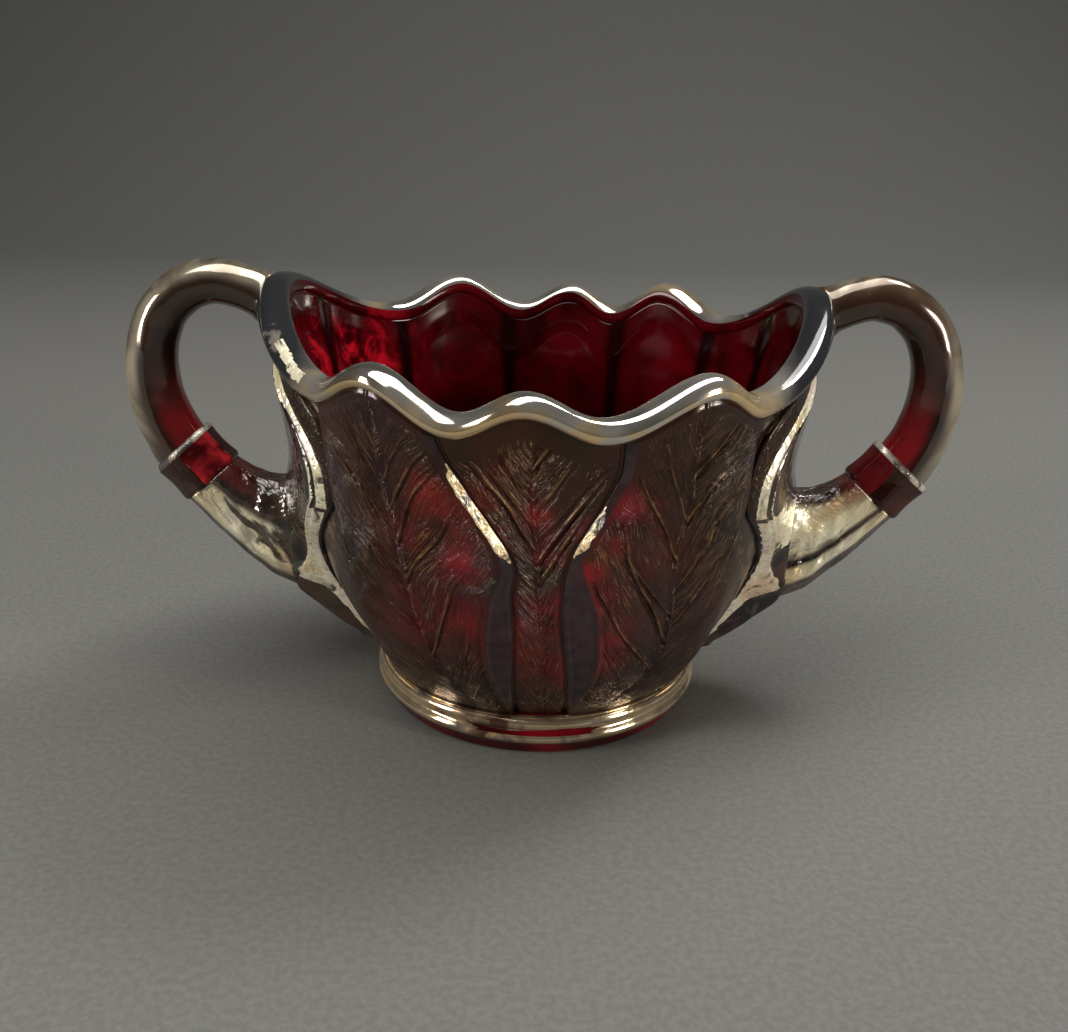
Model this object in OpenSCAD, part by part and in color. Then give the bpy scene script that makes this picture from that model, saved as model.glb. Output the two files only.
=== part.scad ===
// Small open two-handled bowl in pressed glass: eight overlapping leaves, a
// scalloped fire-polished rim, a round foot and two twig-shaped loop handles.
// Millimetres. +Z up, +X to the right-hand handle, -Y to the front.
// The origin is the centre of the resting plane under the foot.

/* [Bowl] */
// Outer radius of the raised leaves close under the rim
mouth_radius = 49; // [35:0.5:80]
// Height of the rim above each handle
side_lobe_height = 77.5; // [55:0.5:120]
// Height of the two middle rim lobes, front and back
middle_lobe_height = 69.6; // [50:0.5:115]
// Height of the four corner rim lobes
corner_lobe_height = 71.4; // [50:0.5:115]
// Height of the rim valleys beside the middle lobes
middle_valley_height = 65.7; // [45:0.5:110]
// Height of the rim valleys beside the side lobes
side_valley_height = 67; // [45:0.5:110]
// How uneven the hand-finished lobes are, 0 for perfectly even
unevenness = 1; // [0:0.1:1.5]
// Thickness of the glass between the inside and the lowest leaves
wall = 3; // [2:0.1:6]
// Thickness of the glass floor above the foot
floor_thickness = 4; // [2:0.25:8]

/* [Rim] */
// Height of the rounded bead on top of the wall
bead_height = 3.4; // [2:0.1:6]
// How far the bead stands out from the lowest leaves
bead_overhang = 2.4; // [1:0.1:4]

/* [Leaves] */
// How far the four corner leaves stand out
leaf_relief = 2; // [1:0.1:4]
// How far the two middle leaves stand out at their crown
middle_relief = 1.15; // [0.9:0.05:2]
// Height of the steps where two leaves touch
edge_step = 0.8; // [0.4:0.1:1.2]

/* [Foot] */
// Largest radius of the foot
foot_radius = 31; // [20:0.5:60]
// Height of the foot up to the bowl
foot_height = 7.6; // [4:0.2:20]
// Radius of the hollow under the foot
foot_hollow_radius = 26; // [10:0.5:50]
// Depth of the hollow under the foot
foot_hollow_depth = 2.6; // [0:0.2:6]

/* [Handles] */
// Distance from the bowl axis to the outside of a handle
handle_reach = 75.4; // [60:0.5:120]
// Height of the top of a handle
handle_top = 79.9; // [55:0.5:125]
// Thickness of a handle at its top
handle_thin = 8; // [5:0.1:14]
// Thickness of a handle just above its cuff
handle_thick = 10.6; // [6:0.1:18]
// Width of a cuff
cuff_width = 13.2; // [8:0.1:22]
// Length of a cuff along the handle
cuff_length = 8.6; // [4:0.1:16]

/* [Hidden] */

ruby = [0.42, 0.03, 0.06];
leafc = [0.30, 0.15, 0.10];
silver = [0.62, 0.60, 0.55];
gold = [0.66, 0.56, 0.34];

zb = foot_height;                       // underside of the bowl
kr = mouth_radius / 49;                 // radial scale of the bowl
kz = middle_lobe_height / 69.6;         // height scale of the bowl
rows = 12;
pad_x = 49.2 * kr;                      // flat where a handle meets the bowl
boss_x = 46.5 * kr;                     // flat where a stem meets its leaf

// outside of the raised leaves, radius against height
prof = [[0, 29.6], [7.6, 29.6], [9, 30.8], [12, 33.4], [15, 35.4], [20, 38.3],
        [25, 40.6], [30, 42.3], [35, 43.5], [40, 44.4], [45, 44.9], [50, 45.4],
        [55, 46.1], [60, 47.1], [65, 48.1], [70, 48.8], [75, 49.2], [90, 49.5]];
// inside of the bowl, distance in from the outside of the raised leaves
inset = [[11, 13], [12.2, 8.2], [14, 6.6], [18, 5.6], [25, 5.1], [35, 5], [90, 5]];
function r_out(z) = kr * lookup(z / kz, prof);
function r_core(z) = r_out(z) - leaf_relief;
function r_in(z) = r_out(z) - lookup(z / kz, inset) - (wall - 3);
z_floor = zb + floor_thickness - 0.6;

// rim line: lobes and valleys round the bowl, [even angle, offset, height]
rim_pts = [[0, -3.4, middle_lobe_height], [13.5, -2.6, middle_valley_height],
           [30.2, 0.7, corner_lobe_height], [45.8, -2.1, side_valley_height],
           [90, 0, side_lobe_height], [134.2, -4.3, side_valley_height],
           [149.8, -3.4, corner_lobe_height], [166.5, -5.6, middle_valley_height],
           [180, -6.9, middle_lobe_height], [193.5, -6.8, middle_valley_height],
           [210.2, -6, corner_lobe_height], [225.8, -4.1, side_valley_height],
           [270, 0, side_lobe_height], [314.2, -1.6, side_valley_height],
           [329.8, -2.8, corner_lobe_height], [346.5, -2.8, middle_valley_height],
           [360, -3.4, middle_lobe_height]];
function rim_ang(k) = rim_pts[k][0] + unevenness * rim_pts[k][1];
function wrap(a) = a < rim_ang(0) ? a + 360 : a >= rim_ang(16) ? a - 360 : a;
function seg(a, k = 0) = a < rim_ang(k + 1) || k >= 15 ? k : seg(a, k + 1);
function ease(t) = (1 - cos(180 * t)) / 2;
function rim_top(a0) = let (a = wrap(a0), k = seg(a),
    t = (a - rim_ang(k)) / (rim_ang(k + 1) - rim_ang(k)))
    rim_pts[k][2] + (rim_pts[k + 1][2] - rim_pts[k][2]) * ease(t);
function wall_top(a) = rim_top(a) - bead_height;

// half angles of the leaf edges against the fraction of the wall height
mid_edge = [[0, 9], [0.1, 8.2], [0.32, 6.1], [0.46, 5.4], [0.57, 5.9],
            [0.66, 7.4], [0.74, 10.5], [0.83, 13.7], [0.92, 15.3], [1, 14.2]];
side_edge = [[0, 51], [0.2, 49.5], [0.4, 48.3], [0.64, 48.2], [0.76, 48.6],
             [0.87, 47.8], [1, 45.8]];
clasp_edge = [[0, 81], [0.13, 79], [0.22, 77], [0.31, 73], [0.39, 68],
              [0.5, 60], [0.57, 55], [0.64, 51], [0.72, 50.6], [0.78, 53],
              [0.833, 59], [0.88, 66], [0.917, 78], [1, 80]];
// valley numbers in rim_pts that each leaf edge runs up to
function off(k, v) = unevenness * (rim_pts[k][1] * v + 1.7 * (1 - v));
function edge(k, v) =
    k == 0 ? -lookup(v, mid_edge) + off(15, v) :
    k == 1 ? lookup(v, mid_edge) + off(1, v) :
    k == 2 ? lookup(v, side_edge) + off(3, v) :
    k == 3 ? lookup(v, clasp_edge) :
    k == 4 ? 180 - lookup(v, clasp_edge) :
    k == 5 ? 180 - lookup(v, side_edge) + off(5, v) :
    k == 6 ? 180 - lookup(v, mid_edge) + off(7, v) :
    k == 7 ? 180 + lookup(v, mid_edge) + off(9, v) :
    k == 8 ? 180 + lookup(v, side_edge) + off(11, v) :
    k == 9 ? 180 + lookup(v, clasp_edge) :
    k == 10 ? 360 - lookup(v, clasp_edge) :
    k == 11 ? 360 - lookup(v, side_edge) + off(13, v) :
    360 + edge(0, v);

// panels between the edges: 0 middle leaf, 1 corner leaf, 2 gap, 3 clasp leaf
kind = [0, 1, 2, 3, 2, 1, 0, 1, 2, 3, 2, 1];
steps = [8, 8, 2, 12, 2, 8, 8, 8, 2, 12, 2, 8];
leaf_t = [0, 0.06, 0.2, 0.35, 0.5, 0.65, 0.8, 0.94, 1];
function clasp_half(v) = 90 - lookup(v, clasp_edge);
function boss_half(v) = v < 0.2 ? 3 + 3.6 * v : min(7.7, 0.55 * clasp_half(v));
function bevel_half(v) = clasp_half(v) - min(2.2, 0.15 * clasp_half(v));
function clasp_a(m, v) = m == 0 ? clasp_half(v) :
    m < 4 ? bevel_half(v) + (boss_half(v) - bevel_half(v)) * (m - 1) / 3 :
    m == 4 ? boss_half(v) : m == 5 ? boss_half(v) / 2 : 0;
function col_ang(k, m, v) =
    kind[k] == 3 ? (k == 3 ? 90 : 270) + (m <= 6 ? -clasp_a(m, v) : clasp_a(12 - m, v)) :
    let (t = kind[k] == 2 ? m / steps[k] : leaf_t[m])
    edge(k, v) * (1 - t) + edge(k + 1, v) * t;
function is_pad(k, m, j) = kind[k] == 3 && m >= 4 && m <= 8 && j >= rows - 1;
function pol(a, r, z) = [r * sin(a), -r * cos(a), z];

// a point of the grid on the core of the wall, with its height
function row_z(k, m, j, base) = let (zt = wall_top(col_ang(k, m, 1)))
    base + (zt - base) * j / rows;
function core_r(k, m, j) = let (z = row_z(k, m, j, zb), a = col_ang(k, m, j / rows))
    is_pad(k, m, j) ? pad_x / cos(a - (k == 3 ? 90 : 270)) : r_core(z);
function core_pt(k, m, j) = pol(col_ang(k, m, j / rows), core_r(k, m, j), row_z(k, m, j, zb));
function in_z(k, m, j) = row_z(k, m, j, z_floor);
function in_pt(k, m, j) = pol(col_ang(k, m, 1), r_in(in_z(k, m, j)), in_z(k, m, j));

// thickness of each leaf over the core
function thick(k, m, j) =
    let (n = steps[k], t = leaf_t[m])
    m == 0 || m == n ? edge_step :
    kind[k] == 0 ? middle_relief - (m == 4 ? 0.2 : 0) :
    kind[k] == 1 ? leaf_relief * (0.88 + 0.12 * sin(180 * t)) - (m == 4 ? 0.3 : 0) :
    edge_step;
// keel of the clasp leaf: how far it reaches out below the handle
keel = [[7.6, 33.2], [11.3, 38.6], [15.3, 43], [18.2, 46.5], [41.5, 46.5],
        [46.4, 45.4], [90, 45.4]];
function clasp_r(k, m, j) =
    let (v = j / rows, z = row_z(k, m, j, zb), mm = m <= 6 ? m : 12 - m,
         a = clasp_a(mm, v), kk = max(kr * lookup(z / kz, keel), r_out(z)),
         rb = kk / cos(boss_half(v)),
         s = mm < 1 ? 0 : min(1, (mm - 1) / 3))
    j == rows - 1 ? core_r(k, m, j) + 0.5 :
    mm == 0 ? r_core(z) + edge_step :
    mm >= 4 ? kk / cos(a) :
    r_out(z) + (rb - r_out(z)) * pow(s, 1.6);
function leaf_pt(k, m, j) = kind[k] == 3 ?
    pol(col_ang(k, m, j / rows), clasp_r(k, m, j), row_z(k, m, j, zb)) :
    pol(col_ang(k, m, j / rows), core_r(k, m, j) + thick(k, m, j), row_z(k, m, j, zb));

// one leaf between the core and its own outside, up to row jn
module leaf(k, jn = rows) {
    n = steps[k];
    w = n + 1;
    q = w * (jn + 1);
    pts = concat([for (j = [0:jn]) for (m = [0:n]) core_pt(k, m, j)],
                 [for (j = [0:jn]) for (m = [0:n]) leaf_pt(k, m, j)]);
    faces = concat(
        [for (j = [0:jn - 1]) for (m = [0:n - 1]) each [
            [j * w + m, j * w + m + 1, (j + 1) * w + m + 1],
            [j * w + m, (j + 1) * w + m + 1, (j + 1) * w + m]]],
        [for (j = [0:jn - 1]) for (m = [0:n - 1]) each [
            [q + j * w + m, q + (j + 1) * w + m + 1, q + j * w + m + 1],
            [q + j * w + m, q + (j + 1) * w + m, q + (j + 1) * w + m + 1]]],
        [for (j = [0:jn - 1]) each [
            [j * w, (j + 1) * w, q + (j + 1) * w],
            [j * w, q + (j + 1) * w, q + j * w],
            [j * w + n, q + (j + 1) * w + n, (j + 1) * w + n],
            [j * w + n, q + j * w + n, q + (j + 1) * w + n]]],
        [for (m = [0:n - 1]) each [
            [m, q + m + 1, m + 1], [m, q + m, q + m + 1],
            [jn * w + m, jn * w + m + 1, q + jn * w + m + 1],
            [jn * w + m, q + jn * w + m + 1, q + jn * w + m]]]);
    polyhedron(points = pts, faces = faces, convexity = 6);
}

// all columns round the bowl
cols = [for (k = [0:11]) for (m = [0:steps[k] - 1]) [k, m]];
nc = len(cols);

module cup_wall() {
    r1 = rows + 1;
    pts = concat([for (j = [0:rows]) for (c = cols) core_pt(c[0], c[1], j)],
                 [for (j = [0:rows]) for (c = cols) in_pt(c[0], c[1], j)],
                 [[0, 0, zb], [0, 0, z_floor]]);
    q = nc * r1;
    faces = concat(
        [for (j = [0:rows - 1]) for (i = [0:nc - 1]) let (i2 = (i + 1) % nc) each [
            [j * nc + i, (j + 1) * nc + i2, j * nc + i2],
            [j * nc + i, (j + 1) * nc + i, (j + 1) * nc + i2]]],
        [for (j = [0:rows - 1]) for (i = [0:nc - 1]) let (i2 = (i + 1) % nc) each [
            [q + j * nc + i, q + j * nc + i2, q + (j + 1) * nc + i2],
            [q + j * nc + i, q + (j + 1) * nc + i2, q + (j + 1) * nc + i]]],
        [for (i = [0:nc - 1]) let (i2 = (i + 1) % nc, t = rows * nc) each [
            [t + i, q + t + i2, t + i2], [t + i, q + t + i, q + t + i2],
            [2 * q, i, i2], [2 * q + 1, q + i2, q + i]]]);
    color(ruby) polyhedron(points = pts, faces = faces, convexity = 10);
}

// outside edge of the leaf ends under the bead
function top_thick(k, m) = kind[k] == 0 || kind[k] == 1 ? thick(k, m, rows) : edge_step;
function bead_pt(c, s) =
    let (k = c[0], m = c[1], a = col_ang(k, m, 1), zt = rim_top(a), zw = zt - bead_height,
         pad = is_pad(k, m, rows), rc = core_r(k, m, rows), ri = r_in(zw),
         ro = pad ? rc : rc + bead_overhang)
    pol(a,
        s == 0 ? ri : s == 1 ? ri - 0.25 : s == 2 ? ri + 0.35 : s == 3 ? ri + 1.3 :
        s == 4 ? ri + 2.7 : s == 5 ? min(ro - 0.5, ri + 4.2) : s == 6 ? ro - (pad ? 0 : 0.4) :
        s == 7 ? ro : s == 8 ? ro - (pad ? 0 : 0.15) :
        s == 9 ? (pad ? rc : rc + top_thick(k, m)) : rc,
        s == 0 ? zw : s == 1 ? zw + 1.3 : s == 2 ? zt - 0.9 : s == 3 ? zt - 0.2 :
        s == 4 ? zt : s == 5 ? zt - 0.25 : s == 6 ? zt - 1 : s == 7 ? zt - 1.9 :
        s == 8 ? zw + (pad ? 0.9 : 0.5) : s == 9 ? (pad ? zw + 0.4 : zw) : zw);
module rim_bead() {
    ns = 11;
    pts = [for (s = [0:ns - 1]) for (c = cols) bead_pt(c, s)];
    // the last two strips lie on the leaf ends and on the wall
    faces = [for (s = [0:ns - 1]) for (i = [0:nc - 1])
        let (i2 = (i + 1) % nc, a = s * nc, b = ((s + 1) % ns) * nc)
        each (s < ns - 2 ?
            [[a + i, b + i2, a + i2], [a + i, b + i, b + i2]] :
            s == ns - 2 ?
            [[b + i, a + i2, a + i], [b + i, b + i2, a + i2]] :
            [[a + i, b + i, b + i2], [a + i, b + i2, a + i2]])];
    color(silver) polyhedron(points = pts, faces = faces, convexity = 10);
}

module foot_ring() {
    h = foot_height / 7.6;
    r = foot_radius - 31.5;
    color(ruby) rotate_extrude($fn = 96) polygon([
        [0, foot_height], [29.8 + r, foot_height], [30.7 + r, 7.1 * h], [31.15 + r, 6.4 * h],
        [31.05 + r, 5.4 * h], [31.4 + r, 4.5 * h], [31.5 + r, 3.8 * h], [31.3 + r, 3.1 * h],
        [30.2 + r, 0.6 * h], [29.5 + r, 0], [foot_hollow_radius + 0.9, 0],
        [foot_hollow_radius, 0.7], [foot_hollow_radius - 1.6, foot_hollow_depth],
        [0, foot_hollow_depth]]);
}

module leaf_front() color(leafc) leaf(0);
module leaf_front_right() color(leafc) leaf(1);
module leaf_back_right() color(leafc) leaf(5);
module leaf_back() color(leafc) leaf(6);
module leaf_back_left() color(leafc) leaf(7);
module leaf_front_left() color(leafc) leaf(11);
module clasp_leaf_right() color(gold) leaf(3, rows - 1);
module clasp_leaf_left() color(gold) leaf(9, rows - 1);

// handle centre line in the plane of the handles: [x, z, thickness fraction]
dx = handle_reach - 75.4;
dz = handle_top - 79.9;
line = [[49.2, 73.3, 0.08], [53.2, 75, 0], [57.7, 75.9, 0], [61.8, 75.1, 0.04],
        [65, 73.2, 0.1], [67.8, 70.1, 0.2], [69.8, 65.6, 0.34], [70.7, 60.2, 0.5],
        [70.4, 55.2, 0.66], [69.2, 50.5, 0.82], [66.9, 45.7, 1]];
nl = len(line);
function lp(k) = let (c = max(0, min(nl - 1, k)), p = line[c], f = (p[0] - 49.2) / 26)
    [p[0] + dx * min(1, f * 1.3) + (pad_x - 49.2) * (1 - min(1, f * 1.3)),
     p[1] + dz * max(0, (p[1] - 45.7) / 30), p[2]];
function spl(u) = let (k = min(nl - 2, floor(u)), t = u - k,
    a = lp(k - 1), b = lp(k), c = lp(k + 1), d = lp(k + 2))
    0.5 * (2 * b + (c - a) * t + (2 * a - 5 * b + 4 * c - d) * t * t
           + (3 * b - a - 3 * c + d) * t * t * t);
// cuff frame: centre of its upper face, direction down the handle, sideways
cuff_c = [lp(nl - 1)[0], lp(nl - 1)[1]];
cuff_d = [-0.66, -0.751];
cuff_n = [0.751, -0.66];
nr = 24;
ns = 12;
function tang(i) = i == 0 ? [1, 0] : i == nr ? cuff_d :
    let (u = i * (nl - 1) / nr, a = spl(u - 0.05), b = spl(u + 0.05),
         d = [b[0] - a[0], b[1] - a[1]]) d / norm(d);
// hexagon with a ridge to the front and back, against a circle
function hexr(th, w) = let (c = abs(cos(th)), s = abs(sin(th)))
    min(w / max(c, 0.001), 1 / (s / (w * 0.98) + c / (w * 1.72)));
function ring_pt(i, s) =
    let (u = i * (nl - 1) / nr, p = spl(u), d = tang(i), n = [-d[1], d[0]],
         f = p[2], w = (handle_thin + (handle_thick - handle_thin) * f) / 2,
         th = s * 360 / ns, h = max(0, (f - 0.3) / 0.7),
         r = w * (1 - h) + hexr(th, w) * h, a = r * cos(th), b = r * sin(th))
    [p[0] + n[0] * a, b, p[1] + n[1] * a];
module loop() {
    pts = concat([for (i = [0:nr]) for (s = [0:ns - 1]) ring_pt(i, s)]);
    faces = concat([for (i = [0:nr - 1]) for (s = [0:ns - 1]) let (s2 = (s + 1) % ns) each [
            [i * ns + s, (i + 1) * ns + s2, i * ns + s2],
            [i * ns + s, (i + 1) * ns + s, (i + 1) * ns + s2]]],
        [[for (s = [0:ns - 1]) s], [for (s = [ns - 1:-1:0]) nr * ns + s]]);
    polyhedron(points = pts, faces = faces, convexity = 6);
}
cw = cuff_width / 2;
module cuff() {
    // a hexagonal band set square to the handle
    translate([cuff_c[0], 0, cuff_c[1]])
    rotate([0, 180 + atan2(-cuff_d[0], -cuff_d[1]), 0])
    linear_extrude(cuff_length)
    polygon([[-cw, -2.7], [0, -cw * 0.97], [cw, -2.7], [cw, 2.7], [0, cw * 0.97], [-cw, 2.7]]);
}
// stem: top line and bottom line from the cuff to the clasp leaf
top_l = [[57, 43], [54.2, 41.2], [51.4, 40], [48.8, 39.8], [46.5, 40.6]];
bot_l = [[65.4, 35.5], [60.6, 30], [55.8, 25.2], [51, 21], [46.5, 18.9]];
deep = [5.5, 5.2, 5.3, 5.7, 6.1];
cuff_e = cuff_c + cuff_d * cuff_length;
function st(i) = let (f = 1 - i / 4) [top_l[i][0] + (cuff_e[0] - 61.2) * f + (boss_x - 46.5) * (1 - f),
                                     top_l[i][1] + (cuff_e[1] - 39.24) * f];
function sb(i) = let (f = 1 - i / 4) [bot_l[i][0] + (cuff_e[0] - 61.2) * f + (boss_x - 46.5) * (1 - f),
                                     bot_l[i][1] + (cuff_e[1] - 39.24) * f];
first_t = cuff_e - cuff_n * 5.6;
first_b = cuff_e + cuff_n * 5.6;
function stem_pt(i, s) =
    let (t = i == 0 ? first_t : st(i), b = i == 0 ? first_b : sb(i), h = deep[i],
         ms = [0, 0.3, 0.62, 1, 1, 0.62, 0.3, 0],
         hs = [0.42, 1, 0.9, 0.42, -0.42, -0.9, -1, -0.42],
         m = ms[s], y = hs[s] * h)
    [t[0] + (b[0] - t[0]) * m, -y, t[1] + (b[1] - t[1]) * m];
module stem() {
    n = 8;
    pts = [for (i = [0:4]) for (s = [0:n - 1]) stem_pt(i, s)];
    faces = concat([for (i = [0:3]) for (s = [0:n - 1]) let (s2 = (s + 1) % n) each [
            [i * n + s, i * n + s2, (i + 1) * n + s2],
            [i * n + s, (i + 1) * n + s2, (i + 1) * n + s]]],
        [[for (s = [n - 1:-1:0]) s], [for (s = [0:n - 1]) 4 * n + s]]);
    polyhedron(points = pts, faces = faces, convexity = 4);
}

module handle_loop_right() color(silver) loop();
module handle_loop_left() color(silver) rotate([0, 0, 180]) loop();
module cuff_right() color(ruby) cuff();
module cuff_left() color(ruby) rotate([0, 0, 180]) cuff();
module stem_right() color(gold) stem();
module stem_left() color(gold) rotate([0, 0, 180]) stem();

cup_wall();
rim_bead();
foot_ring();
leaf_front();
leaf_front_right();
leaf_back_right();
leaf_back();
leaf_back_left();
leaf_front_left();
clasp_leaf_right();
clasp_leaf_left();
stem_right();
stem_left();
cuff_right();
cuff_left();
handle_loop_right();
handle_loop_left();
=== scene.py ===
import math

import bpy
import numpy as np
from mathutils import Matrix, Vector


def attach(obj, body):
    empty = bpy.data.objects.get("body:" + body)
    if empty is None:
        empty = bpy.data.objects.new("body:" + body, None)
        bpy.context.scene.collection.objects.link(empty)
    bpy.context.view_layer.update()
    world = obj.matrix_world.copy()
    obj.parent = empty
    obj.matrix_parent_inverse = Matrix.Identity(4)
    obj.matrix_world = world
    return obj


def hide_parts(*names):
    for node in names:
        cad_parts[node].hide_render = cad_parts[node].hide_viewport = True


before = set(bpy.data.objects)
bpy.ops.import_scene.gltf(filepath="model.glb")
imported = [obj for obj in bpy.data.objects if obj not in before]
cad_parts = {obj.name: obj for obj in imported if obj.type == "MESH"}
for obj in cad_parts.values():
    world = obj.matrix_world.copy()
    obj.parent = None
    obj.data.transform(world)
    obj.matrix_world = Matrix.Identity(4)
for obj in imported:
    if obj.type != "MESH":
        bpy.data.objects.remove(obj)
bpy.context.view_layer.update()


MM = 0.001
rng = np.random.RandomState(11)

# ---------------------------------------------------------------- camera
fwd = Vector((-0.00113641, 0.93016078, -0.36715069)).normalized()
right = Vector((0.99962122, 0.01115245, 0.02516022)).normalized()
up = right.cross(fwd).normalized()
right = fwd.cross(up).normalized()
cam_data = bpy.data.cameras.new("camera")
cam = bpy.data.objects.new("camera", cam_data)
bpy.context.scene.collection.objects.link(cam)
rot = Matrix((right, up, -fwd)).transposed()
cam.matrix_world = Matrix.Translation(Vector((-0.92152, -188.56509, 107.68742)) * MM) @ rot.to_4x4()
cam_data.sensor_fit = "HORIZONTAL"
cam_data.sensor_width = 36.0
cam_data.lens = 36.0 * 1068.83 / 1068.0
cam_data.clip_start = 0.005
cam_data.clip_end = 10.0
bpy.context.scene.camera = cam

# ------------------------------------------------------- shape of the bowl
# These are the design's own curves, in millimetres, with smooth
# interpolation in place of the CAD's straight runs. Angles are in degrees
# from the front, -Y, towards +X.
PROF = np.array([(-2, 28.6), (7.6, 29.6), (9, 30.8), (12, 33.4), (15, 35.4), (20, 38.3), (25, 40.6),
                 (30, 42.3), (35, 43.5), (40, 44.4), (45, 44.9), (50, 45.4), (55, 46.1),
                 (60, 47.1), (65, 48.1), (70, 48.8), (75, 49.2), (90, 49.5)])
INSET = np.array([(11, 13), (12.2, 8.2), (14, 6.6), (18, 5.6), (25, 5.1), (35, 5), (90, 5)])


def pchip(x, xk, yk):
    """Monotone cubic through the knots: smooth, and never past them."""
    xk = np.asarray(xk, float)
    yk = np.asarray(yk, float)
    h = np.diff(xk)
    d = np.diff(yk) / h
    m = np.zeros_like(yk)
    m[0], m[-1] = d[0], d[-1]
    for i in range(1, len(yk) - 1):
        if d[i - 1] * d[i] > 0:
            w1, w2 = 2 * h[i] + h[i - 1], h[i] + 2 * h[i - 1]
            m[i] = (w1 + w2) / (w1 / d[i - 1] + w2 / d[i])
    x = np.clip(x, xk[0], xk[-1])
    i = np.clip(np.searchsorted(xk, x, side="right") - 1, 0, len(h) - 1)
    t = (x - xk[i]) / h[i]
    return ((2 * t**3 - 3 * t**2 + 1) * yk[i] + (t**3 - 2 * t**2 + t) * h[i] * m[i]
            + (-2 * t**3 + 3 * t**2) * yk[i + 1] + (t**3 - t**2) * h[i] * m[i + 1])


def r_out(z):
    return pchip(z, PROF[:, 0], PROF[:, 1])


RELIEF = 2.0


def r_core(z):
    return r_out(z) - RELIEF


def r_in(z):
    return r_out(z) - pchip(z, INSET[:, 0], INSET[:, 1])


ZB = 7.6
BEAD = 3.4
RIM = [(0 - 3.4, 69.6), (13.5 - 2.6, 65.7), (30.2 + 0.7, 71.4), (45.8 - 2.1, 67.0), (90, 77.5),
       (134.2 - 4.3, 67.0), (149.8 - 3.4, 71.4), (166.5 - 5.6, 65.7), (180 - 6.9, 69.6),
       (193.5 - 6.8, 65.7), (210.2 - 6, 71.4), (225.8 - 4.1, 67.0), (270, 77.5),
       (314.2 - 1.6, 67.0), (329.8 - 2.8, 71.4), (346.5 - 2.8, 65.7), (360 - 3.4, 69.6)]
RIM_A = np.array([p[0] for p in RIM])
RIM_Z = np.array([p[1] for p in RIM])


def rim_top(a):
    a = np.asarray(a, float)
    a = RIM_A[0] + np.mod(a - RIM_A[0], 360.0)
    i = np.clip(np.searchsorted(RIM_A, a, side="right") - 1, 0, 15)
    t = (a - RIM_A[i]) / (RIM_A[i + 1] - RIM_A[i])
    return RIM_Z[i] + (RIM_Z[i + 1] - RIM_Z[i]) * (1 - np.cos(np.pi * t)) / 2


def wall_top(a):
    return rim_top(a) - BEAD


MID = np.array([(0, 9), (0.1, 8.2), (0.32, 6.1), (0.46, 5.4), (0.57, 5.9), (0.66, 7.4), (0.74, 10.5),
                (0.83, 14.3), (0.92, 16.8), (1, 17.0)])
SIDE = np.array([(0, 51), (0.2, 49.5), (0.4, 48.3), (0.64, 48.2), (0.76, 48.6), (0.87, 47.8), (1, 45.8)])
CLASP = np.array([(0, 81), (0.13, 79), (0.22, 77), (0.31, 73), (0.39, 68), (0.5, 60), (0.57, 55),
                  (0.64, 51), (0.72, 50.6), (0.78, 53), (0.833, 59), (0.88, 66), (0.917, 78), (1, 80)])
OFFS = [0.0] * 17
for _k, _o in zip(range(17), (-3.4, -2.6, 0.7, -2.1, 0, -4.3, -3.4, -5.6, -6.9, -6.8, -6, -4.1, 0, -1.6, -2.8, -2.8, -3.4)):
    OFFS[_k] = _o


def off(k, v):
    return OFFS[k] * v + 1.7 * (1 - v)


def smooth01(x):
    x = np.clip(x, 0, 1)
    return x * x * (3 - 2 * x)


def edge(k, v):
    mid = pchip(v, MID[:, 0], MID[:, 1])
    side = pchip(v, SIDE[:, 0], SIDE[:, 1])
    cl = pchip(v, CLASP[:, 0], CLASP[:, 1])
    # the left edge of the front middle leaf is cut back a little more
    cutb = 2.4 * smooth01((v - 0.50) / 0.14) * (1 - smooth01((v - 0.86) / 0.14))
    return {0: -mid + off(15, v) + cutb, 1: mid + off(1, v), 2: side + off(3, v), 3: cl, 4: 180 - cl,
            5: 180 - side + off(5, v), 6: 180 - mid + off(7, v), 7: 180 + mid + off(9, v),
            8: 180 + side + off(11, v), 9: 180 + cl, 10: 360 - cl, 11: 360 - side + off(13, v),
            12: 360 - mid + off(15, v) + cutb}[k]


# ---------------------------------------------------------- mesh building
_zz = np.linspace(4, 82, 1561)
_rr = r_out(_zz)
_ss = np.concatenate([[0], np.cumsum(np.hypot(np.diff(_zz), np.diff(_rr)))])


def along(z):
    """Length along the outside of the bowl, from low down to height z."""
    return np.interp(z, _zz, _ss)


def polar(a, r, z):
    a = np.radians(a)
    return np.stack([r * np.sin(a), -r * np.cos(a), z + 0 * a], -1)


def volume(v, faces):
    tot = 0.0
    by = {}
    for f in faces:
        by.setdefault(len(f), []).append(f)
    for n, fs in by.items():
        fs = np.array(fs)
        for i in range(1, n - 1):
            a, b, c = v[fs[:, 0]], v[fs[:, i]], v[fs[:, i + 1]]
            tot += float(np.einsum("ij,ij->i", a, np.cross(b, c)).sum())
    return tot / 6


def new_piece(name, v, faces, mats, nodes, face_mat=None, attrs=None):
    v = np.asarray(v, float)
    if volume(v - v.mean(0), faces) < 0:
        faces = [tuple(reversed(f)) for f in faces]
    me = bpy.data.meshes.new(name)
    me.from_pydata((v * MM).tolist(), [], faces)
    for m in mats:
        me.materials.append(m)
    me.polygons.foreach_set("use_smooth", np.ones(len(me.polygons), bool))
    if face_mat is not None:
        me.polygons.foreach_set("material_index", np.asarray(face_mat, np.int32))
    for key, val in (attrs or {}).items():
        at = me.attributes.new(key, "FLOAT", "POINT")
        at.data.foreach_set("value", np.asarray(val, np.float32))
    me.update()
    ob = bpy.data.objects.new(name, me)
    bpy.context.scene.collection.objects.link(ob)
    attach(ob, "root")
    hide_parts(*nodes)
    return ob


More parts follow.
